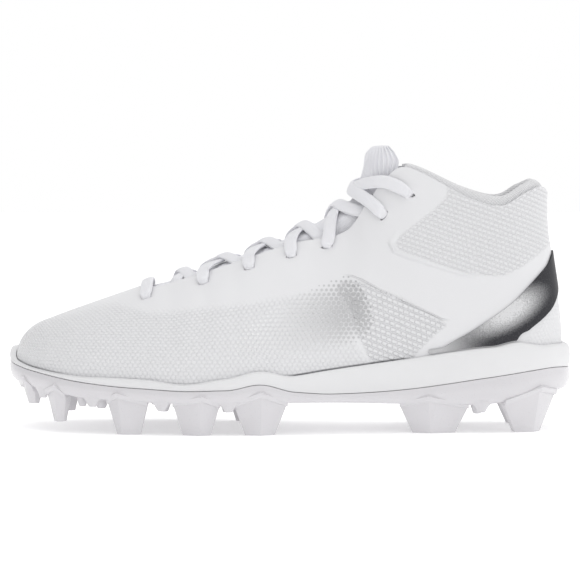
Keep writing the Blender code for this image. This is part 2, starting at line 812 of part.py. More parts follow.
def make_band(collection, material):
    """The silver band around the heel, a thin sheet over the upper."""
    first = min(k for k in range(STATIONS) if TURNS[k] >= turn_of(BANDS[0].along))
    sections = []
    for k in range(first, 2 * STATIONS - first + 1):
        turn = TURNS[k]
        low = height_share(turn, band_height(turn, "low"))
        high = height_share(turn, band_height(turn, "high"))
        ups = [low + (high - low) * i / 3 for i in range(4)]
        outside = [upper_point(turn, t, GAP + BAND) for t in ups]
        inside = [upper_point(turn, t, GAP) for t in ups]
        sections.append(outside + inside[::-1])
    return add_object("heel_band", swept_mesh(sections, "heel_band"), collection, material)


def smooth(x):
    return x * x * (3.0 - 2.0 * x)


def over_shoe(a, b, v, lift):
    """A point of a lace: v from 0 to 1 is over the instep, past that it comes down to an eyelet.

    a and b are the ends: the turns of eyelet and crossed edge and the share up the section.
    """
    if v < 0.0:
        down = -v / LACE_REACH
        return upper_point(a.edge + (a.turn - a.edge) * down, 1.0 - (1.0 - a.share) * down, lift)
    if v > 1.0:
        down = (v - 1.0) / LACE_REACH
        return upper_point(2.0 - b.edge - (b.turn - b.edge) * down, 1.0 - (1.0 - b.share) * down, lift)
    return crown_point(a.edge + (b.edge - a.edge) * v, v, lift)


def strap_mesh(a, b, from_eyelet, to_eyelet, mirrored, clear=LACE_CLEAR):
    """A flat lace over the throat. An end without an eyelet dips to the tongue short of the edge."""
    raised = LACE_THICK / 2 + clear
    sunk = LACE_THICK / 2 + 2 * GAP - SHEET
    start = -LACE_REACH if from_eyelet else LACE_STOP
    end = 1.0 + LACE_REACH if to_eyelet else 1.0 - LACE_STOP
    centres, normals = [], []
    for i in range(LACE_STEPS + 1):
        share = i / LACE_STEPS
        v = start + (end - start) * share
        lift = raised
        if not from_eyelet and share < 0.5:
            lift += (sunk - raised) * smooth(1.0 - 2.0 * share)
        if not to_eyelet and share > 0.5:
            lift += (sunk - raised) * smooth(2.0 * share - 1.0)
        ends = (b, a, 1.0 - v) if mirrored else (a, b, v)
        here = over_shoe(*ends, lift)
        centres.append(here)
        normals.append((over_shoe(*ends, lift + WALL) - here).normalized())
    for _ in range(2):
        normals = [sum(normals[max(i - 1, 0):i + 2], Vector()).normalized() for i in range(len(normals))]
    sections = []
    for i, centre in enumerate(centres):
        forward = (centres[min(i + 1, LACE_STEPS)] - centres[max(i - 1, 0)]).normalized()
        side = forward.cross(normals[i]).normalized()
        sections.append([centre + side * (wide * LACE_WIDTH) + normals[i] * (thick * LACE_THICK)
                         for wide, thick in LACE_FORM])
    return swept_mesh(sections, "strap")


def make_laces(collection, material):
    """A bar over the first eyelets and a joined crossing between each two pairs."""
    ends = []
    for eyelet in EYELETS:
        turn, share = eyelet_place(eyelet, False)
        ends.append(LaceEnd(turn, turn_of(eyelet.edge), share))
    bar = strap_mesh(ends[0], ends[0], True, True, False, BAR_CLEAR)
    add_object("lace_bar", bar, collection, material)
    last = len(ends) - 2
    for i in range(len(ends) - 1):
        a, b = ends[i], ends[i + 1]
        step = b.edge - a.edge
        if i == 0:
            a = a._replace(edge=a.edge + step * FIRST_TUCK)
        if i != last:
            b = b._replace(edge=b.edge - step * END_TUCK)
        straps = [strap_mesh(a, b, i > 0, i == last, mirrored) for mirrored in (False, True)]
        crossing = add_object(f"lace_crossing_{i + 1}", straps[0], collection, material)
        join_by_union(crossing, [add_object(f"strap_{i + 1}", straps[1], collection)])


def stand_over_origin(collection):
    """Moves the shoe so that the middle of its box stands over the origin."""
    bpy.context.view_layer.update()
    graph = bpy.context.evaluated_depsgraph_get()
    corners = [corner for thing in collection.objects for corner in thing.evaluated_get(graph).bound_box]
    for axis in (0, 1):
        places = [corner[axis] for corner in corners]
        middle = (min(places) + max(places)) / 2
        for thing in bpy.data.objects:
            thing.location[axis] = -middle


def main():
    for thing in list(bpy.data.objects):
        bpy.data.objects.remove(thing)
    shoe = bpy.data.collections.new("football_cleat")
    cutters = bpy.data.collections.new("cutters")
    for collection in (shoe, cutters):
        bpy.context.scene.collection.children.link(collection)
    white = (0.86, 0.86, 0.87)
    make_upper(shoe, cutters, make_material("upper_synthetic", white, 0.45))
    make_collar(shoe, make_material("collar_mesh", (0.62, 0.63, 0.65), 0.85))
    make_tongue(shoe, make_material("tongue_knit", (0.80, 0.80, 0.82), 0.85))
    make_insole(shoe, make_material("insole_foam", (0.75, 0.75, 0.77), 0.90))
    make_midsole(shoe, make_material("midsole_foam", white, 0.50))
    make_outsole(shoe, make_material("outsole_plastic", white, 0.30))
    make_band(shoe, make_material("band_silver", (0.55, 0.55, 0.56), 0.30, 1.0))
    make_laces(shoe, make_material("lace_fabric", white, 0.80))
    stand_over_origin(shoe)


main()
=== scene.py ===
# %% [markdown]
# A white mid-cut football cleat for the left foot, dressed around its CAD model.
# The CAD model gives the sizes, this script gives the surfaces: the same curves are drawn again with
# many more sections, then embossed, creased and given their materials. All lengths are in metres.

# %% Load the model
import math
from collections import namedtuple

import bmesh
import bpy
import numpy as np
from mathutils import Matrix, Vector


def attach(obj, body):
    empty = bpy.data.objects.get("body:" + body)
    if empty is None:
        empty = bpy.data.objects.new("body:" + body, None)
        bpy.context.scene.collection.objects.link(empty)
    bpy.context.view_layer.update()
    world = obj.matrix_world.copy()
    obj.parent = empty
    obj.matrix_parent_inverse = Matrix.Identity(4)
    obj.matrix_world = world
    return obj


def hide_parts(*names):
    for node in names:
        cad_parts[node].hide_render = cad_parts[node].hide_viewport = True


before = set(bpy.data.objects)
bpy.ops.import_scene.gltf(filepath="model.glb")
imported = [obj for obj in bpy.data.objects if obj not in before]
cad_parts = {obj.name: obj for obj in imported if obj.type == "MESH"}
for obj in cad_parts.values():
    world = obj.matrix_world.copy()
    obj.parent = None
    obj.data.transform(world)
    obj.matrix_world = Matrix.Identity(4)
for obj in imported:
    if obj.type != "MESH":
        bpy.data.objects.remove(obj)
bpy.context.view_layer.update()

# %% [markdown]
# The camera comes first. The shoe was seen from its outer side, about 3 degrees above the floor and
# from far away, so a long lens keeps the sole's lines almost parallel. A wider lens from nearby would
# make the middle of the shoe bulge.

# %% Camera
LENS = 200.0
SENSOR = 36.0
DISTANCE = 1.711
ELEVATION = math.radians(3.0)
AIM = Vector((0.0004, 0.0, 0.0731))


def add_camera():
    data = bpy.data.cameras.new("camera")
    data.lens = LENS
    data.sensor_width = SENSOR
    camera = bpy.data.objects.new("camera", data)
    bpy.context.scene.collection.objects.link(camera)
    view = Vector((0.0, math.cos(ELEVATION), -math.sin(ELEVATION)))
    camera.location = AIM - view * DISTANCE
    camera.rotation_euler = view.to_track_quat("-Z", "Y").to_euler()
    bpy.context.scene.camera = camera
    return camera


camera = add_camera()
print("camera at", [round(c, 3) for c in camera.location])

# %% [markdown]
# Materials and light are sums of node values, and sums read best as sums. One small class wraps a
# node's output and writes the Math nodes for + - * /, so a pattern can be typed as a formula. All
# else goes through one method that makes a node, sets it and links it.


# %% Shader sums
MM = 1000.0  # millimetres in a metre


class Value:
    """The output of a shader node, usable in formulas."""

    def __init__(self, shader, socket):
        self.shader = shader
        self.socket = socket

    def math(self, operation, *others):
        return self.shader.node("ShaderNodeMath", [self, *others], operation=operation)

    def __add__(self, other):
        return self.math("ADD", other)

    __radd__ = __add__

    def __mul__(self, other):
        return self.math("MULTIPLY", other)

    __rmul__ = __mul__

    def __sub__(self, other):
        return self.math("SUBTRACT", other)

    def __rsub__(self, other):
        return self.shader.node("ShaderNodeMath", [other, self], operation="SUBTRACT")

    def __truediv__(self, other):
        return self.math("DIVIDE", other)

    def least(self, other):
        return self.math("MINIMUM", other)

    def most(self, other):
        return self.math("MAXIMUM", other)

    def part(self):
        return self.math("FRACT")

    def whole(self):
        return self.math("FLOOR")

    def size(self):
        return self.math("ABSOLUTE")

    def wave(self):
        return self.math("SINE")


class Graph:
    """A node tree under construction, with the node that its values end in."""

    def __init__(self, owner, last):
        owner.use_nodes = True
        self.nodes = owner.node_tree.nodes
        self.links = owner.node_tree.links
        self.last = self.nodes[last]

    def put(self, value, socket):
        if isinstance(value, Value):
            self.links.new(value.socket, socket)
        else:
            socket.default_value = value

    def set(self, name, value):
        self.put(value, self.last.inputs[name])

    def node(self, kind, inputs=(), output=0, **settings):
        """Makes a node: settings first, then its sockets from a list, or a dict by name or index."""
        made = self.nodes.new(kind)
        for key, value in settings.items():
            setattr(made, key, value)
        for key, value in inputs.items() if isinstance(inputs, dict) else enumerate(inputs):
            self.put(value, made.inputs[key])
        return Value(self, made.outputs[output])

    def axes(self, vector):
        """The three components of a vector value."""
        return [self.node("ShaderNodeSeparateXYZ", [vector], output=i) for i in range(3)]


class Shader(Graph):
    """A material under construction."""

    def __init__(self, name, color, roughness, metallic=0.0, coat=0.0, coat_roughness=0.1, sheen=0.0):
        self.material = bpy.data.materials.new(name)
        super().__init__(self.material, "Principled BSDF")
        self.set("Base Color", (*color, 1.0))
        self.set("Roughness", roughness)
        self.set("Metallic", metallic)
        self.set("Coat Weight", coat)
        self.set("Coat Roughness", coat_roughness)
        self.set("Sheen Weight", sheen)

    def attribute(self, name, output="Fac"):
        return self.node("ShaderNodeAttribute", output=output, attribute_name=name)

    def place(self):
        """The Object coordinates in millimetres, as three values."""
        return [axis * MM for axis in self.axes(self.node("ShaderNodeTexCoord", output="Object"))]

    def grain(self, scale, detail=3.0):
        """Noise between 0 and 1 with a feature every 1 / scale metres."""
        here = self.node("ShaderNodeTexCoord", output="Object")
        return self.node("ShaderNodeTexNoise", {"Vector": here, "Scale": scale, "Detail": detail})

    def step(self, value, start, end):
        """A soft step from 0 at start to 1 at end."""
        limits = [value, start, end, 0.0, 1.0]
        return self.node("ShaderNodeMapRange", limits, interpolation_type="SMOOTHSTEP")

    def fade(self, value, start, end):
        """A soft step from 1 at start to 0 at end."""
        return 1.0 - self.step(value, start, end)

    def span(self, value, rise, fall):
        """1 between a soft step up and a soft step down."""
        return self.step(value, *rise) * self.fade(value, *fall)

    def blend(self, share, first, second):
        """A colour between two colours."""
        return self.node("ShaderNodeMix", {0: share, 6: first, 7: second}, output=2, data_type="RGBA")

    def emboss(self, height, distance, strength=1.0):
        """Raises the surface by a height between 0 and 1."""
        shape = {"Height": height, "Distance": distance, "Strength": strength}
        self.set("Normal", self.node("ShaderNodeBump", shape))


print("node helpers ready")

# %% [markdown]
# White on white needs soft light with a direction. The room is white behind the shoe, and its front
# half is brighter above and on the right than below and on the left, so faces that turn down or
# toward the toe go grey. Small lamps alone would cut hard shadows. The Standard view keeps white
# paper white.

# %% Light and floor
# The room's brightness behind the shoe. In front of it: a level, what is added toward the right and
# what is added upward. From BEHIND[0] to BEHIND[1], seen toward +Y, the front gives way to the back.
ROOM = 1.0
FRONT = (0.62, 0.44, 0.45)
BEHIND = (0.35, 0.75)
FLOOR_SIDE = 8.0
FLOOR_GLOW = 0.30
# Name, place, target, size and power of each lamp
LAMPS = (
    ("top_light", (-0.10, -0.30, 1.30), (0.0, 0.0, 0.06), 0.90, 1.9),
    ("back_light", (0.70, 1.00, 0.80), (0.0, 0.0, 0.06), 0.70, 0.4),
)


def add_lamp(name, place, target, size, power):
    data = bpy.data.lights.new(name, "AREA")
    data.shape = "DISK"
    data.size = size
    data.energy = power
    lamp = bpy.data.objects.new(name, data)
    lamp.location = place
    lamp.rotation_euler = (Vector(target) - Vector(place)).to_track_quat("-Z", "Y").to_euler()
    bpy.context.scene.collection.objects.link(lamp)


def light_room():
    world = bpy.data.worlds.new("room")
    room = Graph(world, "Background")
    x, y, z = room.axes(room.node("ShaderNodeTexCoord", output="Generated"))
    level = x * (1.0 - z) * FRONT[1] + FRONT[0] + z * FRONT[2]
    limits = {"Value": y, "From Min": BEHIND[0], "From Max": BEHIND[1]}
    behind = room.node("ShaderNodeMapRange", limits)
    room.set("Strength", room.node("ShaderNodeMix", {0: behind, 2: level, 3: ROOM}))
    room.set("Color", (1.0, 1.0, 1.0, 1.0))
    bpy.context.scene.world = world
    bpy.context.scene.view_settings.view_transform = "Standard"
    for lamp in LAMPS:
        add_lamp(*lamp)


def add_floor():
    mesh = bpy.data.meshes.new("floor")
    half = FLOOR_SIDE / 2
    corners = [(-half, -half, 0), (half, -half, 0), (half, half, 0), (-half, half, 0)]
    mesh.from_pydata(corners, [], [(0, 1, 2, 3)])
    floor = bpy.data.objects.new("floor", mesh)
    bpy.context.scene.collection.objects.link(floor)
    return floor


def paper_floor():
    shader = Shader("floor_paper", (0.93, 0.93, 0.93), 0.9)
    shader.set("Emission Color", (1.0, 1.0, 1.0, 1.0))
    shader.set("Emission Strength", FLOOR_GLOW)
    shader.emboss(shader.grain(300.0), 0.0002, 0.1)
    return shader.material


light_room()
floor = add_floor()
floor.data.materials.append(paper_floor())
print(len(LAMPS), "lamps over", floor.data.materials[0].name)

# %% [markdown]
# The shoe's form is drawn from the same short tables as its CAD model. A place around the shoe is a
# turn: 0 at the toe, 1 at the heel, 2 at the toe again, with the outer side first. Each row is a
# section, and its numbers are shares of the sizes in the next cell.

# %% Sizes
# Overall sizes of the last and the upper
LENGTH = 0.298
BALL_WIDTH = 0.098
COLLAR_WIDTH = 0.054
COLLAR_HEIGHT = 0.1385
HEEL_BED = 0.034
WALL = 0.0022
GAP = 0.0003

# Collar padding, tongue and the band over the heel
PAD = 0.0062
PAD_LIP = 0.0036
TONGUE = 0.0042
TONGUE_TUCK = 0.11
BAND = 0.0007

# Sole
RIM_HEIGHT = 0.0455
RIM = 0.0022
TOE_RIM = 0.0030
HEEL_WALL = 0.0052
SIDE_SWELL = 0.0034
SIDE_EDGE = 0.0031
LIP = 0.0030
PLATE = 0.0028
CHAMFER = 0.0040

# Studs
STUD_ROOT = 0.035
STUD_WIDTH = 0.0145
STUD_SINK = 0.0012
STUD_TAPER = 0.62
NUB = 0.0100
NUB_DROP = 0.0050

# Laces and eyelets
EYELET_LENGTH = 0.0058
EYELET_WIDTH = 0.0024
LACE_WIDTH = 0.0068
LACE_THICK = 0.0021
LACE_REACH = 0.42
FIRST_TUCK = 0.45
END_TUCK = 0.20

THROAT_START = 0.225
PAD_START = 0.765
UPPER_LENGTH = LENGTH - TOE_RIM - HEEL_WALL
TOE_X = -LENGTH / 2 + TOE_RIM
SHEET = WALL + GAP
# From the tables' coordinates to the frame's
SHIFT = np.array((0.0002, 0.0011459, 0.0))
print("shoe", LENGTH, "m long")

# %% Sections of the upper
# The foot-bed outline. along is a share of the upper's length, outer and inner are shares of the
# ball width from the shoe's axis, and bed is a share of the foot bed's height at the heel.
Bed = namedtuple("Bed", "along outer inner bed")
BEDS = [
    Bed(0.00, -0.102, 0.102, 0.956),
    Bed(0.02, 0.095, 0.285, 0.935),
    Bed(0.06, 0.250, 0.385, 0.891),
    Bed(0.13, 0.378, 0.458, 0.809),
    Bed(0.22, 0.454, 0.490, 0.735),
    Bed(0.32, 0.510, 0.485, 0.706),
    Bed(0.42, 0.510, 0.429, 0.712),
    Bed(0.51, 0.467, 0.367, 0.747),
    Bed(0.60, 0.413, 0.324, 0.806),
    Bed(0.66, 0.388, 0.311, 0.847),
    Bed(0.72, 0.372, 0.316, 0.888),
    Bed(0.77, 0.367, 0.327, 0.921),
    Bed(0.83, 0.359, 0.335, 0.953),
    Bed(0.89, 0.337, 0.324, 0.979),
    Bed(0.94, 0.289, 0.286, 0.994),
    Bed(0.98, 0.186, 0.186, 1.000),
    Bed(1.00, 0.000, 0.000, 1.000),
]

# The top line: a narrow loop over the toes, then the edge of the throat and of the collar. from_bed
# says which section of the bed each row stands over, along and height are shares of the upper's
# length and the collar's height, outer and inner of the collar's width.
Top = namedtuple("Top", "from_bed along outer inner height")
TOPS = [
    Top(0.00, 0.0621, -0.167, 0.167, 0.414),
    Top(0.02, 0.0725, -0.065, 0.269, 0.423),
    Top(0.06, 0.1087, 0.019, 0.324, 0.447),
    Top(0.13, 0.1587, 0.102, 0.352, 0.481),
    Top(0.22, 0.2312, 0.185, 0.343, 0.527),
    Top(0.32, 0.3244, 0.250, 0.343, 0.585),
    Top(0.42, 0.4210, 0.306, 0.343, 0.651),
    Top(0.51, 0.5090, 0.343, 0.352, 0.713),
    Top(0.60, 0.6039, 0.380, 0.370, 0.758),
    Top(0.66, 0.6453, 0.407, 0.398, 0.870),
    Top(0.72, 0.6781, 0.435, 0.426, 0.962),
    Top(0.77, 0.7177, 0.463, 0.454, 1.000),
    Top(0.83, 0.8210, 0.500, 0.500, 0.893),
    Top(0.89, 0.8850, 0.490, 0.490, 0.857),
    Top(0.94, 0.9300, 0.405, 0.410, 0.902),
    Top(0.98, 0.9620, 0.255, 0.262, 0.926),
    Top(1.00, 0.9765, 0.000, 0.000, 0.899),
]

# The middle line of the instep, over the toes and then along the tongue's front.
Crown = namedtuple("Crown", "from_bed along height")
CROWNS = [
    Crown(0.00, 0.0621, 0.414),
    Crown(0.02, 0.0725, 0.4255),
    Crown(0.06, 0.1087, 0.454),
    Crown(0.13, 0.1587, 0.491),
    Crown(0.22, 0.2312, 0.544),
    Crown(0.32, 0.3244, 0.609),
    Crown(0.42, 0.4210, 0.683),
    Crown(0.51, 0.5038, 0.751),
    Crown(0.60, 0.5832, 0.845),
    Crown(0.66, 0.6125, 0.892),
    Crown(0.72, 0.6263, 0.953),
    Crown(0.77, 0.6310, 1.005),
    Crown(0.83, 0.6400, 1.060),
]
CROWN_PULL = 0.20

# How each section curves from bed to top line, as shares of its height or, for reach, of its span:
# rise and flare set the curve at the bed, reach, swell and drop the curve at the top line.
Form = namedtuple("Form", "from_bed rise flare reach swell drop")
FORMS = [
    Form(0.00, 0.60, 0.060, 0.50, 0.000, 0.06),
    Form(0.02, 0.58, 0.060, 0.49, 0.000, 0.07),
    Form(0.06, 0.56, 0.060, 0.48, 0.000, 0.09),
    Form(0.13, 0.55, 0.060, 0.48, 0.000, 0.12),
    Form(0.22, 0.50, 0.060, 0.45, 0.000, 0.15),
    Form(0.32, 0.46, 0.050, 0.45, 0.000, 0.17),
    Form(0.42, 0.42, 0.050, 0.42, 0.020, 0.20),
    Form(0.51, 0.38, 0.045, 0.40, 0.030, 0.24),
    Form(0.60, 0.36, 0.040, 0.38, 0.030, 0.27),
    Form(0.66, 0.34, 0.035, 0.36, 0.020, 0.28),
    Form(0.72, 0.33, 0.030, 0.33, 0.020, 0.30),
    Form(0.77, 0.32, 0.030, 0.33, 0.015, 0.32),
    Form(0.83, 0.32, 0.030, 0.35, 0.010, 0.33),
    Form(0.89, 0.32, 0.035, 0.35, 0.000, 0.33),
    Form(0.94, 0.32, 0.040, 0.30, -0.010, 0.33),
    Form(0.98, 0.32, 0.040, 0.10, -0.010, 0.33),
    Form(1.00, 0.32, 0.040, -0.10, -0.012, 0.33),
]
print(len(BEDS), "sections")

# %% Lines of the sole's side
# The sole's side: the midsole's rim, the seam between midsole and outsole, and the outsole's lower
# edge, as shares of the rim's height at the heel.
Side = namedtuple("Side", "along rim seam low")
SIDES = [
    Side(0.000, 0.811, 0.767, 0.560),
    Side(0.047, 0.723, 0.690, 0.490),
    Side(0.120, 0.663, 0.603, 0.418),
    Side(0.194, 0.650, 0.550, 0.385),
    Side(0.250, 0.634, 0.530, 0.372),
    Side(0.320, 0.588, 0.508, 0.362),
    Side(0.395, 0.655, 0.519, 0.358),
    Side(0.496, 0.667, 0.500, 0.365),
    Side(0.578, 0.740, 0.466, 0.363),
    Side(0.707, 0.850, 0.506, 0.341),
    Side(0.853, 0.980, 0.633, 0.330),
    Side(0.963, 1.000, 0.734, 0.440),
    Side(1.000, 0.998, 0.714, 0.473),
]

# Crests of the side lines: centre and half length as shares of the upper's length, rises in shares
# of the rim's height.
Crest = namedtuple("Crest", "along half rim seam low")
CRESTS = [
    Crest(0.451, 0.062, 0.072, 0.070, 0.040),
    Crest(0.912, 0.045, 0.044, 0.000, 0.000),
]
# The guard: where rim and seam rise at the toe, on the inner side
GUARD_TURN = 1.955
GUARD_HALF = 0.10
GUARD_RISE = 0.14
print(len(SIDES), "side sections")

# %% Tongue, eyelets and band
# The top of the tongue above the throat: the middle and the side edges of each section.
Peak = namedtuple("Peak", "along height edge_along edge_height half")
PEAKS = [
    Peak(0.6320, 0.9950, 0.7000, 1.000, 0.400),
    Peak(0.6360, 1.0480, 0.6960, 1.048, 0.352),
    Peak(0.6470, 1.0760, 0.6850, 1.078, 0.270),
]

# Eyelets from toe to collar: the section they stand on, how far below the top line they sit, as a
# share of the collar's height, and the section at which their lace passes over the top line.
Eyelet = namedtuple("Eyelet", "along drop edge")
EYELETS = [
    Eyelet(0.236, 0.030, 0.236),
    Eyelet(0.345, 0.036, 0.345),
    Eyelet(0.430, 0.038, 0.430),
    Eyelet(0.507, 0.044, 0.507),
    Eyelet(0.567, 0.034, 0.572),
    Eyelet(0.700, 0.117, 0.662),
    Eyelet(0.765, 0.105, 0.708),
]

# The silver band's lower and upper edge on each side, from its front tip to the heel.
Band = namedtuple("Band", "along low high")
BANDS = [
    Band(0.755, 0.000, 0.310),
    Band(0.810, 0.000, 0.360),
    Band(0.860, 0.000, 0.425),
    Band(0.910, 0.340, 0.500),
    Band(0.934, 0.389, 0.548),
    Band(0.957, 0.426, 0.592),
    Band(0.976, 0.463, 0.627),
    Band(0.992, 0.510, 0.665),
    Band(1.000, 0.550, 0.680),
]
print(len(EYELETS), "eyelets a side")

# %% Studs and nubs
# Blade studs of each side: the section at the centre, the length at root and tip and the height of
# the tip as shares of the longest root, where the side's upright edge stands, and the width.
Stud = namedtuple("Stud", "along root tip edge lift width")
OUTER_STUDS = [
    Stud(0.028, 0.36, 0.23, 0.55, 0.400, 0.60),
    Stud(0.082, 0.35, 0.18, 0.61, 0.160, 0.66),
    Stud(0.212, 0.60, 0.36, 0.30, 0.000, 0.86),
    Stud(0.337, 0.67, 0.42, 0.61, 0.000, 0.92),
    Stud(0.453, 0.77, 0.45, 0.49, 0.000, 0.92),
    Stud(0.764, 1.00, 0.64, 0.41, 0.000, 1.00),
    Stud(0.940, 0.88, 0.44, 0.59, 0.000, 1.00),
]
INNER_STUDS = [
    Stud(0.027, 0.31, 0.19, 0.55, 0.400, 0.60),
    Stud(0.086, 0.35, 0.18, 0.61, 0.160, 0.66),
    Stud(0.203, 0.60, 0.36, 0.30, 0.000, 0.86),
    Stud(0.322, 0.67, 0.42, 0.61, 0.000, 0.92),
    Stud(0.434, 0.77, 0.45, 0.49, 0.000, 0.92),
    Stud(0.770, 1.00, 0.64, 0.41, 0.000, 1.00),
    Stud(0.940, 0.88, 0.44, 0.59, 0.000, 1.00),
]

# Small nubs between the studs: their place as shares of the upper's length and of the ball width
# from the shoe's axis, and their size as a share of the full one.
Nub = namedtuple("Nub", "along across size")
NUBS = [
    Nub(0.130, -0.300, 0.80),
    Nub(0.165, -0.330, 1.00),
    Nub(0.278, -0.380, 1.00),
    Nub(0.392, -0.380, 1.00),
    Nub(0.130, 0.340, 0.80),
    Nub(0.160, 0.370, 1.00),
    Nub(0.262, 0.390, 1.00),
    Nub(0.375, 0.330, 1.00),
    Nub(0.150, 0.030, 1.10),
    Nub(0.260, 0.020, 1.20),
    Nub(0.370, -0.030, 1.20),
    Nub(0.842, -0.290, 0.90),
    Nub(0.842, 0.270, 0.90),
]
print(len(OUTER_STUDS) + len(INNER_STUDS), "studs")

# %% [markdown]
# A loop is a smooth closed curve through one value for each side at each table row. Arrays of turns
# go in and arrays of values come out, so a whole grid of points costs one call.


# %% Loops around the shoe
def turn_of(along):
    """The turn, on the outer side, of a share of the length."""
    return 2.0 / np.pi * np.arcsin(np.sqrt(along))


def along_of(turn):
    """The share of the length at a turn, on either side."""
    return np.sin(np.pi * np.asarray(turn) / 2.0) ** 2


def unit(vectors):
    return vectors / np.linalg.norm(vectors, axis=-1, keepdims=True)


class Loop:
    """A smooth closed curve with Catmull-Rom slopes."""

    def __init__(self, rows, outer, inner):
        keys = [float(turn_of(row[0])) for row in rows]
        keys += [2.0 - key for key in reversed(keys[1:-1])]
        values = [outer(row) for row in rows] + [inner(row) for row in reversed(rows[1:-1])]
        around = np.array([keys[-1] - 2.0, *keys, 2.0, 2.0 + keys[1]])
        level = np.array([values[-1], *values, values[0], values[1]])
        self.keys = around[1:-1]
        self.values = level[1:-1]
        self.slopes = (level[2:] - level[:-2]) / (around[2:] - around[:-2])

    def at(self, turn):
        turn = np.mod(turn, 2.0)
        i = np.clip(np.searchsorted(self.keys, turn + 1e-12, side="right") - 1, 0, len(self.keys) - 2)
        span = self.keys[i + 1] - self.keys[i]
        f = (turn - self.keys[i]) / span
        return ((2 * f**3 - 3 * f**2 + 1) * self.values[i]
                + (f**3 - 2 * f**2 + f) * self.slopes[i] * span
                + (3 * f**2 - 2 * f**3) * self.values[i + 1]
                + (f**3 - f**2) * self.slopes[i + 1] * span)


def even(rows, column):
    return Loop(rows, lambda row: getattr(row, column), lambda row: getattr(row, column))


def across(rows):
    return Loop(rows, lambda row: -row.outer, lambda row: row.inner)


BED = {"across": across(BEDS), "height": even(BEDS, "bed")}
TOP = {"across": across(TOPS), "along": even(TOPS, "along"), "height": even(TOPS, "height")}
CROWN = {"along": even(CROWNS, "along"), "height": even(CROWNS, "height")}
FORM = {column: even(FORMS, column) for column in ("rise", "flare", "reach", "swell", "drop")}
SIDE = {column: even(SIDES, column) for column in ("rim", "seam", "low")}
BAND_EDGE = {column: even(BANDS, column) for column in ("low", "high")}
print("foot bed at the heel", round(float(BED["height"].at(1.0)) * HEEL_BED * 1000, 1), "mm high")

# %% [markdown]
# Each section climbs from the foot bed to the top line on one Bezier curve, and another one crosses
# the instep. Every other layer, from the lace to the lining, is this surface moved in or out.


# %% The last's surface
def x_at(along):
    return TOE_X + UPPER_LENGTH * along


def turn_at(x):
    """The turn, on the outer side, of the section at a distance along the shoe."""
    return turn_of(np.clip((x - TOE_X) / UPPER_LENGTH, 0.0, 1.0))


def bed_point(turn, height=0.0):
    turn = np.asarray(turn, float)
    return np.stack([x_at(along_of(turn)), BALL_WIDTH * BED["across"].at(turn),
                     HEEL_BED * BED["height"].at(turn) + height], -1)


def out_direction(turn):
    step = bed_point(np.asarray(turn) + 1e-3) - bed_point(np.asarray(turn) - 1e-3)
    return unit(np.stack([step[..., 1], -step[..., 0], 0.0 * step[..., 0]], -1))


def top_point(turn):
    return np.stack([x_at(TOP["along"].at(turn)), COLLAR_WIDTH * TOP["across"].at(turn),
                     COLLAR_HEIGHT * TOP["height"].at(turn)], -1)


def section(turn):
    """The four control points of the curve from foot bed to top line."""
    base, top, out = bed_point(turn, GAP), top_point(turn), out_direction(turn)
    height = (top[..., 2] - base[..., 2])[..., None]
    form = {name: loop.at(turn)[..., None] for name, loop in FORM.items()}
    level, upright = np.array((1.0, 1.0, 0.0)), np.array((0.0, 0.0, 1.0))
    low = base + out * form["flare"] * height + upright * form["rise"] * height
    high = top + (base - top) * level * form["reach"] + out * form["swell"] * height
    return base, low, high - upright * form["drop"] * height, top


def on_curve(points, t):
    a, b, c, d = points
    t = np.asarray(t)[..., None]
    u = 1.0 - t
    return a * u**3 + b * (3 * u * u * t) + c * (3 * u * t * t) + d * t**3


def upper_point(turn, t, offset=0.0):
    """A point of the upper's outer face, t from 0 at the bed to 1 at the top line, moved outward."""
    turn, t = np.broadcast_arrays(np.asarray(turn, float), np.asarray(t, float))
    here = on_curve(section(turn), t)
    low = np.where(t > 0.5, t - 0.01, t)
    up = on_curve(section(turn), low + 0.01) - on_curve(section(turn), low)
    round_shoe = on_curve(section(turn + 2e-3), t) - on_curve(section(turn - 2e-3), t)
    return here - unit(np.cross(up, round_shoe)) * np.asarray(offset)[..., None]


def height_share(turn, height):
    """The share of the way up a section at which the upper reaches a height."""
    turn = np.asarray(turn, float)
    points = section(turn)
    low, high = np.zeros(turn.shape), np.ones(turn.shape)
    for _ in range(24):
        middle = (low + high) / 2
        under = on_curve(points, middle)[..., 2] < height
        low, high = np.where(under, middle, low), np.where(under, high, middle)
    return (low + high) / 2


def crown_curve(turn, v):
    left, right = top_point(turn), top_point(2.0 - turn)
    middle = np.stack([x_at(CROWN["along"].at(turn)), (left[..., 1] + right[..., 1]) / 2,
                       COLLAR_HEIGHT * CROWN["height"].at(turn)], -1)
    bulge = (middle - (left + right) / 2) * (4.0 / 3.0)
    pull = (right - left) * CROWN_PULL
    return on_curve((left, left + bulge + pull, right + bulge - pull, right), v)


def crown_point(turn, v, offset=0.0):
    """A point over the instep, v from 0 at the outer top edge to 1 at the inner one."""
    turn, v = np.broadcast_arrays(np.asarray(turn, float), np.asarray(v, float))
    step = crown_curve(turn, np.minimum(1.0, v + 0.02)) - crown_curve(turn, np.maximum(0.0, v - 0.02))
    along = crown_curve(turn + 4e-3, v) - crown_curve(turn - 4e-3, v)
    return crown_curve(turn, v) + unit(np.cross(along, step)) * np.asarray(offset)[..., None]


print("instep at mid length", np.round(crown_point(turn_of(0.42), 0.5) * 1000, 1), "mm")


# %% Lines of the sole
def bump(distance, half):
    return np.where(np.abs(distance) < half, np.cos(np.pi / 2 * distance / half) ** 2, 0.0)


def side_height(column, turn):
    share = SIDE[column].at(turn)
    for crest in CRESTS:
        share = share + getattr(crest, column) * bump(along_of(turn) - crest.along, crest.half)
    if column != "low":
        share = share + GUARD_RISE * bump(np.mod(turn - GUARD_TURN + 1.0, 2.0) - 1.0, GUARD_HALF)
    return RIM_HEIGHT * share


def heelward(turn):
    return np.clip((along_of(turn) - 0.6) / 0.4, 0.0, 1.0) ** 2


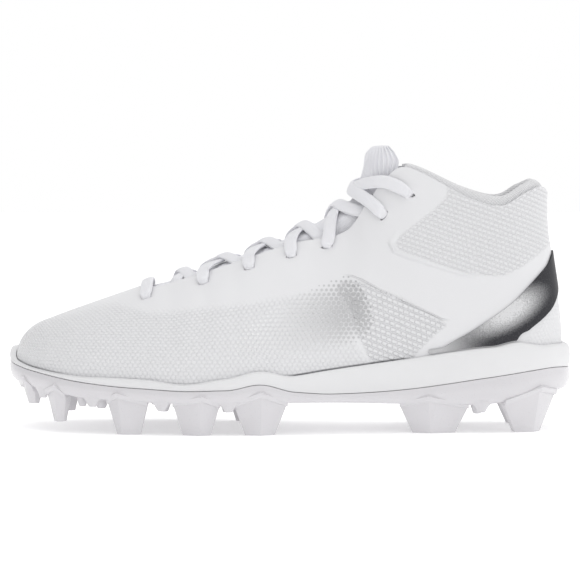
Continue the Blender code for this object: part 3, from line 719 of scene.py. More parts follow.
def side_edge(turn):
    return SIDE_EDGE + (HEEL_WALL - SIDE_EDGE) * 0.75 * heelward(turn)


def side_swell(turn):
    return SIDE_SWELL + (HEEL_WALL - SIDE_SWELL) * heelward(turn)


def side_point(turn, out, height):
    place = bed_point(turn) + out_direction(turn) * np.asarray(out)[..., None]
    place[..., 2] = height
    return place


def plate_height(turn):
    return np.minimum(side_height("low", turn) + PLATE, side_height("seam", turn) - 2 * GAP)


print("rim at the heel", round(float(side_height("rim", 1.0)) * 1000, 1), "mm high")

# %% [markdown]
# Meshes are built from grids of points. A small collector keeps the points and the faces of several
# grids, so that a wall's outer face, inner face and edges come out as one closed body. Normals are
# set once, at the end, on the closed body.


# %% Mesh helpers
class Body:
    """Points and faces of one closed mesh. Each face keeps the number of its material."""

    def __init__(self):
        self.points = []
        self.faces = []
        self.kinds = []
        self.count = 0

    def add(self, points):
        """Adds an array of points and returns their numbers in the same layout."""
        points = np.asarray(points, float)
        numbers = self.count + np.arange(points[..., 0].size).reshape(points.shape[:-1])
        self.points.append(points.reshape(-1, 3))
        self.count += numbers.size
        return numbers

    def fill(self, numbers, closed=False, kind=0):
        """Fills a grid of point numbers with faces; equal neighbours make triangles."""
        if closed:
            numbers = np.concatenate([numbers, numbers[:, :1]], axis=1)
        quads = np.stack([numbers[:-1, :-1], numbers[:-1, 1:], numbers[1:, 1:], numbers[1:, :-1]], -1)
        for quad in quads.reshape(-1, 4).tolist():
            self.face(quad, kind)

    def face(self, corners, kind=0):
        kept = [c for i, c in enumerate(corners) if c not in corners[:i]]
        if len(kept) > 2:
            self.faces.append(kept)
            self.kinds.append(kind)

    def lid(self, ring, kind=0):
        """A lid over a ring around the shoe, in strips from side to side."""
        half = len(ring) // 2
        other = np.concatenate([ring[:1], ring[:half - 1:-1]])
        self.fill(np.stack([ring[:half + 1], other], 0), kind=kind)

    def build(self, name, materials, sharp=40.0):
        mesh = bpy.data.meshes.new(name)
        mesh.from_pydata(np.concatenate(self.points) + SHIFT, [], self.faces)
        for material in materials:
            mesh.materials.append(material)
        mesh.polygons.foreach_set("material_index", self.kinds)
        return add_piece(name, mesh, sharp)


def add_piece(name, mesh, sharp=40.0):
    """An object at the origin whose mesh faces outward and is shaded smooth."""
    bm = bmesh.new()
    bm.from_mesh(mesh)
    bmesh.ops.recalc_face_normals(bm, faces=bm.faces)
    bm.to_mesh(mesh)
    bm.free()
    mesh.shade_smooth()
    mesh.set_sharp_from_angle(angle=math.radians(sharp))
    piece = bpy.data.objects.new(name, mesh)
    bpy.context.scene.collection.objects.link(piece)
    return piece


def settle(piece, sharp=None):
    """Replaces a piece's mesh with what its modifiers make of it."""
    bpy.context.view_layer.update()
    seen = piece.evaluated_get(bpy.context.evaluated_depsgraph_get())
    plain = bpy.data.meshes.new_from_object(seen)
    piece.modifiers.clear()
    piece.data = plain
    if sharp is not None:
        plain.set_sharp_from_angle(angle=math.radians(sharp))


def bevel_edges(piece, width, sharper_than):
    edge = piece.modifiers.new("edge", "BEVEL")
    edge.width = width
    edge.segments = 2
    edge.limit_method = "ANGLE"
    edge.angle_limit = math.radians(sharper_than)


def tube(name, sections, materials, sharp=40.0):
    """A closed body from closed sections along a path, with flat ends."""
    body = Body()
    numbers = body.add(sections)
    body.fill(numbers, closed=True)
    body.face(numbers[0].tolist())
    body.face(numbers[-1].tolist())
    return body.build(name, materials, sharp=sharp)


def refine(points, steps, closed=False):
    """Catmull-Rom points between the rows of an array, steps of them for each row."""
    points = np.asarray(points, float)
    if closed:
        padded = np.concatenate([points[-1:], points, points[:2]])
    else:
        before, after = 2 * points[:1] - points[1:2], 2 * points[-1:] - points[-2:-1]
        padded = np.concatenate([before, points, after])
    count = len(padded) - 3
    at = np.arange(count * steps + (0 if closed else 1)) / steps
    i = np.minimum(at.astype(int), count - 1)
    f = (at - i).reshape((-1,) + (1,) * (points.ndim - 1))
    a, b, c, d = (padded[i + k] for k in range(4))
    return 0.5 * (2 * b + (c - a) * f + (2 * a - 5 * b + 4 * c - d) * f**2
                  + (3 * b - a - 3 * c + d) * f**3)


def note(mesh, name, values):
    """Stores one number or vector for each point of a mesh, for its material to read."""
    values = np.asarray(values, np.float32)
    kind, field = ("FLOAT", "value") if values.ndim == 1 else ("FLOAT_VECTOR", "vector")
    mesh.attributes.new(name, kind, "POINT").data.foreach_set(field, values.ravel())


def points_of(mesh):
    places = np.empty(len(mesh.vertices) * 3, np.float32)
    mesh.vertices.foreach_get("co", places)
    return places.reshape(-1, 3).astype(float)


def even_turns(stations):
    """Turns around the shoe, closer together at toe and heel."""
    k = np.arange(2 * stations)
    return k / stations + 0.30 * np.sin(2 * np.pi * k / stations) / (2 * np.pi)


print("helpers ready")

# %% [markdown]
# The upper is one moulded skin with zones: scales over the forefoot, slanted bricks in a window below
# the ankle, rows of dashes around the ankle and a smooth saddle between them. A zone is a short
# outline seen from the side. Its distance to every point is stored on the mesh, so the material can
# draw a crisp edge on a coarse grid. Folds and the two sunken zones are real relief in the mesh.

# %% Zones and creases, in millimetres seen from the side
ZONES = {
    "forefoot": ((-165, 51), (-143, 52.8), (-130, 61), (-108, 66.5), (-91, 69.5), (-72, 65), (-40, 68),
                 (-21, 70), (-5, 73), (10, 76), (19, 77), (29, 60), (44, 37), (44, 15), (-165, 15)),
    "window": ((24.3, 76), (28, 79.6), (35.9, 79.8), (43, 77.8), (59.8, 70.8), (74.7, 62.5),
               (83.2, 56.6), (75.8, 51), (66, 41), (62, 34), (45, 30), (38, 46)),
    "ankle": ((54.6, 99), (56.9, 94.8), (61.6, 93.1), (76, 87.8), (90.6, 83.6), (102.3, 81.5),
              (112, 81.6), (122, 86), (136, 96), (142, 102), (165, 104), (165, 150), (84, 150),
              (82, 124), (75.4, 117), (58, 104)),
    "heel": ((119.5, 48), (128, 54), (137, 66), (143, 80), (165, 82), (165, 15), (119.5, 15)),
}

# How deep a zone with its own cells lies, and over what width its edge falls
SUNKEN = (("window", 0.30), ("ankle", 0.22))
ZONE_EDGE = 1.2

# Lines on the skin: the crease over the window and the welt along the ankle's lower edge
CREASE = ((24.8, 82.6), (32.8, 82), (38.1, 79.9), (48.2, 74.6), (59.3, 68.8), (68.9, 65), (79.5, 59.7),
          (86, 59.2))
WELT_FOLD = ((55.6, 104), (52.6, 99.6), (54.8, 94.8), (60.9, 92.4), (74.7, 88), (89.9, 83.3),
             (101, 80.8))
WELT = WELT_FOLD + ((108, 80.4),)

# Folds of the skin: a line, its width and how far it stands proud
Fold = namedtuple("Fold", "line width height")
FOLDS = (
    Fold(((33, 80), (38.5, 77.5), (47, 72.6), (58, 66.8), (69, 62.2), (78, 57.6)), 1.8, 0.35),
    Fold(WELT_FOLD, 1.4, 0.40),
    Fold(((-64, 76), (-60, 62), (-62, 50)), 5.0, -0.45),
    Fold(((-46, 80), (-43, 66), (-47, 52)), 4.5, -0.40),
    Fold(((-30, 86), (-27, 74), (-30, 62)), 4.0, -0.25),
    Fold(((2, 98), (14, 84), (20, 70)), 8.0, -0.50),
    Fold(((30, 104), (44, 96), (50, 86)), 8.0, -0.45),
    Fold(((62, 118), (80, 108), (100, 100)), 11.0, -0.60),
    Fold(((104, 116), (118, 104), (130, 98)), 7.0, -0.35),
)


def signed_distance(places, line):
    """The distance to a line through corners, with a sign for the side of it."""
    best, side = np.full(len(places), np.inf), np.zeros(len(places))
    for a, b in zip(line, line[1:]):
        a, edge = np.array(a, float), np.subtract(b, a).astype(float)
        share = np.clip((places - a) @ edge / (edge @ edge), 0.0, 1.0)
        away = places - a - share[:, None] * edge
        distance = np.linalg.norm(away, axis=1)
        nearer = distance < best
        turned = edge[0] * (places[:, 1] - a[1]) - edge[1] * (places[:, 0] - a[0])
        side = np.where(nearer, np.where(turned < 0.0, -1.0, 1.0), side)
        best = np.where(nearer, distance, best)
    return best * side


def line_distance(places, line):
    """The distance from side-view points to a line through corners."""
    return np.abs(signed_distance(places, line))


def inside_distance(places, outline):
    """The distance to an outline, positive inside it."""
    inside = np.zeros(len(places), bool)
    for (ax, az), (bx, bz) in zip(outline, outline[1:] + outline[:1]):
        crosses = (az > places[:, 1]) != (bz > places[:, 1])
        at = ax + (places[:, 1] - az) * (bx - ax) / ((bz - az) or 1e-9)
        inside ^= crosses & (places[:, 0] < at)
    distance = line_distance(places, outline + outline[:1])
    return np.where(inside, distance, -distance)


def relief(places):
    """How far the skin stands proud, in metres, at points given in metres."""
    seen = places[:, [0, 2]] * MM
    height = np.zeros(len(places))
    for fold in FOLDS:
        height += fold.height * np.exp(-((line_distance(seen, fold.line) / fold.width) ** 2))
    for name, depth in SUNKEN:
        height -= depth * np.clip(inside_distance(seen, ZONES[name]) / ZONE_EDGE, 0.0, 1.0)
    return height / MM


print(len(ZONES), "zones and", len(FOLDS), "folds")

# %% [markdown]
# The eyelets are real slits. They could be painted, but a lace that runs through a real hole gets its
# own shadow from any side. A Boolean cuts all fourteen at once from the closed shell.

# %% The upper's shell
STATIONS = 300
ROWS = 96
INNER_ROWS = 14
BRIDGE_COLUMNS = 40
SLIT_CORNERS = 20
TURNS = even_turns(STATIONS)
THROAT = int(np.argmin(np.abs(TURNS[:STATIONS] - turn_of(THROAT_START))))


def eyelet_place(eyelet, inner_side):
    turn = turn_of(eyelet.along)
    turn = 2.0 - turn if inner_side else turn
    return turn, float(height_share(turn, top_point(turn)[2] - eyelet.drop * COLLAR_HEIGHT))


def lay_wall(body, rows, offset, columns, kind):
    """One face of the shell: the grid around the shoe and the bridge over the toes."""
    t = (np.arange(rows + 1) / rows)[:, None]
    places = upper_point(TURNS[None, :], t, offset)
    if offset == 0.0:
        flat = places.reshape(-1, 3)
        out = unit(upper_point(TURNS[None, :], t, 1.0) - places).reshape(-1, 3)
        places = (flat + out * relief(flat + SHIFT)[:, None]).reshape(places.shape)
    ring = body.add(places)
    body.fill(ring, closed=True, kind=kind)
    edge = ring[-1]
    inside = crown_point(TURNS[1:THROAT + 1, None], (np.arange(1, columns) / columns)[None, :], offset)
    bridge = np.empty((THROAT + 1, columns + 1), int)
    bridge[0] = edge[0]
    bridge[1:, 1:-1] = body.add(inside)
    bridge[1:, 0] = edge[1:THROAT + 1]
    bridge[1:, -1] = edge[-1:-THROAT - 1:-1]
    body.fill(bridge, kind=kind)
    return ring, np.concatenate([edge[THROAT:2 * STATIONS - THROAT], bridge[-1][::-1]])


def eyelet_cutter():
    """Rounded slits through the wall, long side along the top line."""
    body = Body()
    for eyelet in EYELETS:
        for inner_side in (False, True):
            turn, t = eyelet_place(eyelet, inner_side)
            inside, outside = upper_point(turn, t, -2 * WALL), upper_point(turn, t, 2 * WALL)
            axis = unit(outside - inside)
            along = top_point(turn + 0.01) - top_point(turn - 0.01)
            along = unit(along - axis * (along @ axis))
            angle = np.arange(SLIT_CORNERS) * 2 * np.pi / SLIT_CORNERS
            slit = (np.outer(np.cos(angle) * EYELET_LENGTH / 2, along)
                    + np.outer(np.sin(angle) * EYELET_WIDTH / 2, np.cross(axis, along)))
            numbers = body.add(np.stack([inside + slit, outside + slit]))
            body.fill(numbers, closed=True)
            body.face(numbers[0].tolist())
            body.face(numbers[1].tolist())
    return body.build("eyelet_cutter", [])


def make_upper():
    body = Body()
    outer, outer_edge = lay_wall(body, ROWS, 0.0, BRIDGE_COLUMNS, 0)
    inner, inner_edge = lay_wall(body, INNER_ROWS, -WALL, BRIDGE_COLUMNS, 1)
    body.fill(np.stack([outer[0], inner[0]]), closed=True, kind=1)
    body.fill(np.stack([outer_edge[:-1], inner_edge[:-1]]), closed=True)
    blank = [bpy.data.materials.new(name) for name in ("skin", "lining")]
    upper = body.build("upper_skin", blank)
    cutter = eyelet_cutter()
    cut = upper.modifiers.new("eyelets", "BOOLEAN")
    cut.operation = "DIFFERENCE"
    cut.solver = "EXACT"
    cut.object = cutter
    settle(upper)
    bpy.data.objects.remove(cutter)
    return upper


upper = make_upper()
print("upper", len(upper.data.polygons), "faces")

# %% [markdown]
# The scales and dashes follow the surface, so the material needs to know how far round the shoe and
# how far up the side a point lies. Both are stored on the mesh, with the distance to each zone.


# %% Distances stored on the upper
# Over the vamp a point counts as higher by this share of its way in from the widest line, so that
# the scales keep their size there; it fades in over this length from the shoe's middle to the toe.
OVER_TOP = 0.70
FADE_IN = 0.06


def survey_upper(mesh):
    places = points_of(mesh)
    seen = places[:, [0, 2]] * MM
    for name, outline in ZONES.items():
        note(mesh, name, inside_distance(seen, outline))
    for name, line in (("crease", CREASE), ("welt", WELT)):
        note(mesh, name, signed_distance(seen, line))
    note(mesh, "over_rim", (places[:, 2] - side_height("rim", turn_at(places[:, 0]))) * MM)
    raw = places - SHIFT
    lengths = np.linspace(0.0, 1.0, 400)
    bed = bed_point(lengths)
    run = np.concatenate([[0.0], np.cumsum(np.linalg.norm(np.diff(bed, axis=0), axis=1))])
    around = np.interp(places[:, 0], bed[:, 0] + SHIFT[0], run) * MM
    widest = np.interp(raw[:, 0], bed[:, 0], np.abs(bed[:, 1]))
    inward = np.clip(widest - np.abs(raw[:, 1]), 0.0, None)
    inward *= np.clip(-places[:, 0] / FADE_IN, 0.0, 1.0)
    up = (places[:, 2] + inward * OVER_TOP) * MM
    note(mesh, "pattern", np.stack([around, up, 0.0 * up], -1))
    print("pattern runs", round(float(around.max())), "mm from toe to heel")


survey_upper(upper.data)

# %% [markdown]
# The skin is one moulded film, so one material draws all its zones. Each pattern is a small formula:
# scales are the nearer of two rows of domes, bricks and dashes are rounded cells on slanted rows.
# Bump is right for relief this fine, half a millimetre at most. The gaps between the cells and the
# crease are also painted darker, as painted shade.

# %% Skin of the upper
WHITE = (0.77, 0.77, 0.785)
# Painted shade in the gaps between scales, bricks and dashes, and along the crease
GAP_SHADE_GREY = (0.60, 0.60, 0.62, 1.0)
# The colour of the painted shadow in the gap over the rim
RIM_SHADOW_DARK = (0.10, 0.10, 0.11, 1.0)
SKIN_RELIEF = 0.00058
# Pitch along and up, in mm, and how fast a dome falls; for cells length, pitch and lean in degrees
SCALE = (2.7, 4.3)
DOME_FALL = 0.42
BRICK = (3.0, 2.75, 22.0)
DASH = (2.5, 2.45, 19.0)
# Soft edges in mm: of the zones, of the two lines' width and run, and of the painted shadow in the gap
# over the rim
ZONE_EDGES = {"window": (-0.3, 1.4), "ankle": (-0.3, 1.4), "forefoot": (-1.0, 5.0), "heel": (0.0, 3.0)}
CREASE_WIDE = (0.05, 0.75)
CREASE_RUN = ((26.0, 34.0), (79.0, 85.0))
WELT_WIDE = (0.0, 1.7)
WELT_END = (92.0, 106.0)
WELT_TOP = (97.0, 103.0)
RIM_SHADOW_HIGH = (0.5, 1.3)
RIM_SHADOW_RUN = ((-4.0, 5.0), (54.0, 66.0))
TOE_RIM_SHADOW_HIGH = (0.3, 1.2)
TOE_RIM_SHADOW_END = (-134.0, -112.0)


def domes(around, up):
    """Two staggered rows of round scales."""
    best = None
    for shift in (0.0, 0.5):
        a = ((around / SCALE[0] + shift).part() - 0.5) * SCALE[0]
        b = ((up / SCALE[1] + shift).part() - 0.5) * SCALE[1]
        dome = 1.0 - (a * a + b * b) * DOME_FALL
        best = dome if best is None else best.most(dome)
    return best.most(0.0)


def cells(shader, around, up, length, pitch, degrees):
    """Rounded cells on rows that slant down toward the heel, each row moved half a cell on."""
    lean = math.radians(degrees)
    row = (around * math.sin(lean) + up * math.cos(lean)) / pitch
    along = (around * math.cos(lean) - up * math.sin(lean)) / length + row.whole() * 0.5
    across_cell = shader.step(0.5 - (row.part() - 0.5).size(), 0.0, 0.30)
    along_cell = shader.step(0.5 - (along.part() - 0.5).size(), 0.0, 0.16)
    return across_cell * (along_cell * 0.6 + 0.4)


def rim_shadow_at_toe(shader, x):
    """The painted shadow of the gap between the upper and the rim around the toe."""
    low = shader.fade(shader.attribute("over_rim"), *TOE_RIM_SHADOW_HIGH)
    return low * shader.fade(x, *TOE_RIM_SHADOW_END)


def paint_skin(material_name):
    shader = Shader(material_name, WHITE, 0.42, coat=0.08, coat_roughness=0.35)
    around, up = shader.axes(shader.attribute("pattern", "Vector"))[:2]
    x, z = shader.place()[::2]
    zone = {name: shader.step(shader.attribute(name), *edge) for name, edge in ZONE_EDGES.items()}
    scales = domes(around, up)
    bricks = cells(shader, around, up, *BRICK)
    dashes = cells(shader, around, up, *DASH)
    leather = shader.grain(1600.0, 2.0)
    crease = shader.fade(shader.attribute("crease").size(), *CREASE_WIDE) * shader.span(x, *CREASE_RUN)
    welt = shader.fade(shader.attribute("welt").size(), *WELT_WIDE)
    welt = welt * shader.fade(x, *WELT_END) * shader.fade(z, *WELT_TOP)
    scaly = zone["forefoot"].most(zone["heel"] * 0.7)
    # Painted shadow: a dark line along the gap over the rim, on the flank and round the toe.
    rim_shadow = shader.fade(shader.attribute("over_rim"), *RIM_SHADOW_HIGH) * shader.span(x, *RIM_SHADOW_RUN)
    rim_shadow = rim_shadow + rim_shadow_at_toe(shader, x) * 0.7
    height = scales * scaly * 0.8 + bricks * zone["window"] + dashes * zone["ankle"] * 0.75
    height = height + leather * 0.10 + welt * 1.1 - crease * 0.9
    shader.emboss(height, SKIN_RELIEF, 1.0)
    # Painted shade: the gaps between cells and the crease are darkened in the colour; the gaps are
    # also a little rougher.
    shaded_gaps = (1.0 - scales) * scaly * 0.5 + (1.0 - bricks) * zone["window"]
    shaded_gaps = shaded_gaps + (1.0 - dashes) * zone["ankle"] * 0.7
    skin = shader.blend(shaded_gaps * 0.30 + crease * 0.25, (*WHITE, 1.0), GAP_SHADE_GREY)
    shader.set("Base Color", shader.blend(rim_shadow * 0.8, skin, RIM_SHADOW_DARK))
    shader.set("Roughness", 0.40 + leather * 0.08 + shaded_gaps * 0.10)
    return shader.material


def paint_cloth(name, color, scale, depth, sheen=0.2):
    """A fine knit: crossed waves at a thread's width, with a slight unevenness."""
    shader = Shader(name, color, 0.85, sheen=sheen)
    x, y, z = shader.place()
    threads = ((x + y * 0.6) * scale).wave() * ((z + y * 0.4) * scale).wave()
    uneven = shader.grain(140.0, 2.0)
    shader.emboss(threads * 0.5 + uneven * 0.6, depth, 0.8)
    dark = (color[0] * 0.82, color[1] * 0.82, color[2] * 0.83, 1.0)
    shade = (0.5 - threads * 0.5) * 0.5 + uneven * 0.2
    shader.set("Base Color", shader.blend(shade, (*color, 1.0), dark))
    return shader.material


upper.data.materials[0] = paint_skin("skin_white")
upper.data.materials[1] = paint_cloth("lining_cloth", (0.66, 0.67, 0.69), 3.2, 0.0003)
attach(upper, "root")
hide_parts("upper")
print("upper dressed in", [m.name for m in upper.data.materials])

# %% [markdown]
# The collar's padding is a soft roll of grey cloth. Its section has ten corners, and a smooth curve
# through them gives the roll. Simulation would only round it further, and the curve does that exactly.

# %% Collar lining
COLLAR_TURNS = 260
COLLAR_GREY = (0.78, 0.78, 0.79)
# The rolled lip's two corners, each with its depth and height as shares of the padding's sizes
ROLL = ((0.20, 0.85), (0.65, 1.0))
# Where the collar dips: the place and half length of the fuller lip there, and how much is added
ROLL_DIP = (0.87, 0.11, 0.40)


def collar_sections():
    turns = np.linspace(turn_of(PAD_START), 2.0 - turn_of(PAD_START), COLLAR_TURNS)
    levels = (5 / 8, 6 / 8, 7 / 8, 1.0)
    rows = [upper_point(turns, t, -SHEET) for t in levels]
    from_end = np.clip(np.minimum(turns - turns[0], turns[-1] - turns) / 0.05, 0.0, 1.0)
    swell = 0.25 + 0.75 * np.sqrt(from_end * (2.0 - from_end))
    fuller = 1.0 + ROLL_DIP[2] * bump(along_of(turns) - ROLL_DIP[0], ROLL_DIP[1])
    for deep, high in ROLL:
        lip = upper_point(turns, 1.0, -SHEET - PAD * deep * swell)
        lip[..., 2] += PAD_LIP * high * swell * fuller
        rows.append(lip)
    for t in reversed(levels):
        full = (t - levels[0]) * 8 / 3
        rows.append(upper_point(turns, t, -SHEET - PAD * (0.3 + 0.7 * full ** 0.5) * swell))
    smooth = refine(np.stack(rows), 4, closed=True)
    return np.swapaxes(smooth, 0, 1)


collar_cloth = paint_cloth("collar_mesh_grey", COLLAR_GREY, 3.4, 0.0004)
collar = tube("collar_roll", collar_sections(), [collar_cloth], 60.0)
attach(collar, "root")
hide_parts("collar_lining")
print("collar", len(collar.data.polygons), "faces")

# %% [markdown]
# The tongue is a padded knit sheet. Its edges are pressed down by the laces that run between it and
# the upper, and its free top is knitted in upright ribs.

# %% Tongue
TONGUE_COLUMNS = 181
TUCKED = 36
PRESS = 0.0026
PRESSED = 0.20
RIB = 0.00075
RIBS = 21
RIBBED_ROWS = 26
RIB_RISE = 8.0
TONGUE_ROUND = 0.0012
TONGUE_WHITE = (0.88, 0.88, 0.91)


def tongue_row(turn, depth):
    tuck = 1.0 - TONGUE_TUCK
    t = np.linspace(tuck, 1.0, TUCKED, endpoint=False)
    v = np.linspace(0.0, 1.0, TONGUE_COLUMNS - 2 * TUCKED)
    pressed = np.clip(1.0 - np.minimum(v, 1.0 - v) / PRESSED, 0.0, 1.0)
    lateral = upper_point(turn, t, -depth - PRESS)
    medial = upper_point(2.0 - turn, t[::-1], -depth - PRESS)
    over = crown_point(turn, v, -depth - PRESS * pressed * pressed * (3.0 - 2.0 * pressed))
    return np.concatenate([lateral, over, medial])


def tongue_peak(peak, depth):
    angle = np.pi * (np.linspace(0.0, 1.0, TONGUE_COLUMNS) - 0.5)
    lean = np.cos(angle)
    along = peak.edge_along + (peak.along - peak.edge_along) * lean
    height = peak.edge_height + (peak.height - peak.edge_height) * lean
    side = (COLLAR_WIDTH * peak.half - depth) * np.sin(angle)
    return np.stack([x_at(along) + depth * lean, side, COLLAR_HEIGHT * height], -1)


def make_tongue():
    coarse = even_turns(42)[:42]
    start = int(np.argmin(np.abs(coarse - turn_of(THROAT_START)))) - 2
    end = int(np.max(np.nonzero(coarse <= turn_of(CROWNS[-3].from_bed))))
    faces = []
    for depth in (SHEET, SHEET + TONGUE):
        rows = [tongue_row(turn, depth) for turn in coarse[start:end + 1]]
        rows += [tongue_peak(peak, depth) for peak in PEAKS]
        faces.append(refine(np.stack(rows), 6))
    front, back = faces
    out = unit(front - back)
    free = np.clip((np.arange(len(front)) - (len(front) - RIBBED_ROWS)) / RIB_RISE, 0.0, 1.0)
    rib = np.cos(np.linspace(0.0, 1.0, TONGUE_COLUMNS) * RIBS * 2 * np.pi)
    front = front + out * (free[:, None] * rib * RIB)[..., None]
    middle = (front[-1] + back[-1]) / 2 + unit(front[-1] - front[-3]) * TONGUE_ROUND
    ring = np.concatenate([front, back[:, ::-1]], axis=1)
    last = np.concatenate([middle * 0.7 + front[-1] * 0.3, (middle * 0.7 + back[-1] * 0.3)[::-1]])
    cloth = paint_cloth("tongue_knit_white", TONGUE_WHITE, 5.0, 0.0002)
    return tube("tongue_knit_pad", np.concatenate([ring, last[None]]), [cloth], 50.0)


tongue = make_tongue()
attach(tongue, "root")
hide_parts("tongue")
print("tongue", len(tongue.data.polygons), "faces")

# %% [markdown]
# The midsole is a foam cup. Its side swells like a pillow between the outsole and the rim, so the
# profile is a smooth curve through four heights.

# %% Midsole
SOLE_TURNS = even_turns(260)
# How far up the side the swell and the shoulder sit, the one from the seam, the other from the rim
SWELL_UP = 0.45
SHOULDER_DOWN = 0.14
# The foam's two tones, mixed by a random unevenness and by a painted shade that darkens the side
# toward the bottom; the shade fades in between these heights in mm
FOAM_AND_SHADE_TONES = ((0.78, 0.78, 0.79, 1.0), (0.70, 0.70, 0.71, 1.0))
SHADED_UNDERSIDE = (14.0, 32.0)


def side_profile(points, steps):
    """A smooth profile through some rings, for each turn."""
    return list(refine(np.stack(points), steps))


def midsole_rings(turn):
    seam, rim, edge = side_height("seam", turn), side_height("rim", turn), side_edge(turn)
    at_rim = upper_point(turn, height_share(turn, rim), GAP)
    out = out_direction(turn)
    rim_outside = at_rim + out * RIM
    swell = side_point(turn, side_swell(turn), seam + (rim - seam) * SWELL_UP)
    shoulder = (rim_outside + swell) / 2 + out * GAP
    shoulder[..., 2] = rim - (rim - seam) * SHOULDER_DOWN
    foot = upper_point(turn, 0.0, GAP)
    foot[..., 2] = HEEL_BED * BED["height"].at(turn)
    start = side_point(turn, edge - GAP, seam + GAP)
    lip = rim_outside.copy()
    lip[..., 2] -= 0.0004
    top = at_rim * 0.5 + rim_outside * 0.5
    top[..., 2] += 0.0002
    rings = [side_point(turn, edge - LIP - GAP, plate_height(turn) + GAP),
             side_point(turn, edge - LIP - GAP, seam + GAP)]
    rings += side_profile([start, swell, shoulder, lip], 6)
    return rings + [top, at_rim, foot]


def ringed(name, rings, materials, sharp=40.0):
    body = Body()
    numbers = body.add(np.stack(rings))
    body.fill(numbers, closed=True)
    body.lid(numbers[0])
    body.lid(numbers[-1])
    return body.build(name, materials, sharp=sharp)


def paint_foam():
    shader = Shader("midsole_foam_white", (0.76, 0.76, 0.77), 0.5)
    fine = shader.grain(2200.0, 2.0)
    broad = shader.grain(90.0, 2.0)
    shader.emboss(fine * 0.4 + broad * 0.5, 0.00018, 0.7)
    shader.set("Roughness", 0.46 + fine * 0.10)
    # Painted shade: the foam is darker toward the bottom, with a random tone change besides.
    under = shader.fade(shader.place()[2], *SHADED_UNDERSIDE)
    shader.set("Base Color", shader.blend((broad * 0.3 + under * 0.7).least(1.0), *FOAM_AND_SHADE_TONES))
    return shader.material


midsole = ringed("midsole_cup", midsole_rings(SOLE_TURNS), [paint_foam()], 50.0)
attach(midsole, "root")
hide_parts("midsole")
print("midsole", len(midsole.data.polygons), "faces")

# %% [markdown]
# The outsole is one glossy moulding. Each blade stud has an upright edge that runs up over the plate's
# side and ends in a small roof there, so a stud starts as a prism with a bevel and one Boolean joins
# all of them to the plate. Small scallops sit on the plate's lower edge between the studs.

# %% Outsole
STUD_BEVEL = 0.0006
BEVEL_OVER = 22.0
JOINED_SHARP = 32.0
LEDGE = 0.0013
# Each of these is for the upright edge first, then for the two corners beside it
PROUD = (0.0010, 0.0014)
ROOT_DROP = (-0.0018, 0.0020)
ROOF = (0.0044, 0.0010)
# How far a stud's crest goes back in and up behind its roof
CREST_BACK = (0.0030, 0.0012)
NUB_CORNERS = 6
NUB_TIP = 0.5
# Scallops: their places, their width, depth and height, how far in they stand, and their rings,
# each a share of the width and a share of the height over the plate's lower edge
SCALLOPS = (0.058, 0.150, 0.275, 0.395, 0.848)
SCALLOP = (0.0138, 0.0046, 0.0094)
SCALLOP_IN = 0.0030
SCALLOP_CORNERS = 12
SCALLOP_RINGS = ((0.28, -0.42), (0.55, -0.10), (1.0, 0.22), (0.6, 0.4))
PLASTIC_TONES = ((0.69, 0.68, 0.70, 1.0), (0.62, 0.60, 0.63, 1.0))


def outsole_rings(turn):
    seam, low, edge = side_height("seam", turn), side_height("low", turn), side_edge(turn)
    side = [side_point(turn, edge - CHAMFER * 0.92, low + 0.0001),
            side_point(turn, edge - CHAMFER * 0.3, low + (seam - low) * 0.12),
            side_point(turn, edge + GAP, low + (seam - low) * 0.55),
            side_point(turn, edge, seam)]
    return ([side_point(turn, edge - CHAMFER, low)] + side_profile(side, 5)
            + [side_point(turn, edge - LIP, seam), side_point(turn, edge - LIP, plate_height(turn))])


def headed(turn):
    """The way out at a turn, and the way toward the heel square to it."""
    out = out_direction(turn)
    heading = np.array((-out[1], out[0], 0.0))
    return out, heading if heading[0] > 0 else -heading


def stud_piece(stud, inner_side):
    """A blade: tip, root and the roof that laps over the plate's side."""
    turn = float(turn_of(stud.along))
    turn = 2.0 - turn if inner_side else turn
    out, heading = headed(turn)
    width = STUD_WIDTH * stud.width
    centre = side_point(turn, side_edge(turn) - CHAMFER * 0.35 - width * 0.5, 0.0)
    outline = ((-0.50, 0.10), (stud.edge - 0.50, 0.50), (0.50, 0.10),
               (0.46, -0.34), (0.0, -0.50), (-0.46, -0.34))
    rings = [[], [], [], [], []]
    for i, (a, b) in enumerate(outline):
        tip = centre + heading * (a * stud.tip * STUD_ROOT) + out * (b * width * STUD_TAPER)
        tip[2] = stud.lift * STUD_ROOT
        root = centre + heading * (a * stud.root * STUD_ROOT) + out * (b * width)
        facing = 1.0 if i < 3 else 0.0
        root = root + out * (PROUD[0] if i == 1 else PROUD[1]) * facing
        low = float(side_height("low", turn_at(root[0])))
        root[2] = low - (ROOT_DROP[0] if i == 1 else ROOT_DROP[1] * facing)
        ledge = root + out * LEDGE * facing + heading * np.sign(a) * LEDGE * 0.5 * facing
        ledge[2] += 0.0002
        roof = ledge + out * (CHAMFER * 0.30 * facing)
        roof[2] = low + (ROOF[0] if i == 1 else ROOF[1])
        crest = roof - out * CREST_BACK[0]
        crest[2] += CREST_BACK[1]
        for ring, corner in zip(rings, (tip, root, ledge, roof, crest)):
            ring.append(corner)
    blade = tube("stud", rings, [], 30.0)
    bevel_edges(blade, STUD_BEVEL, BEVEL_OVER)
    return blade


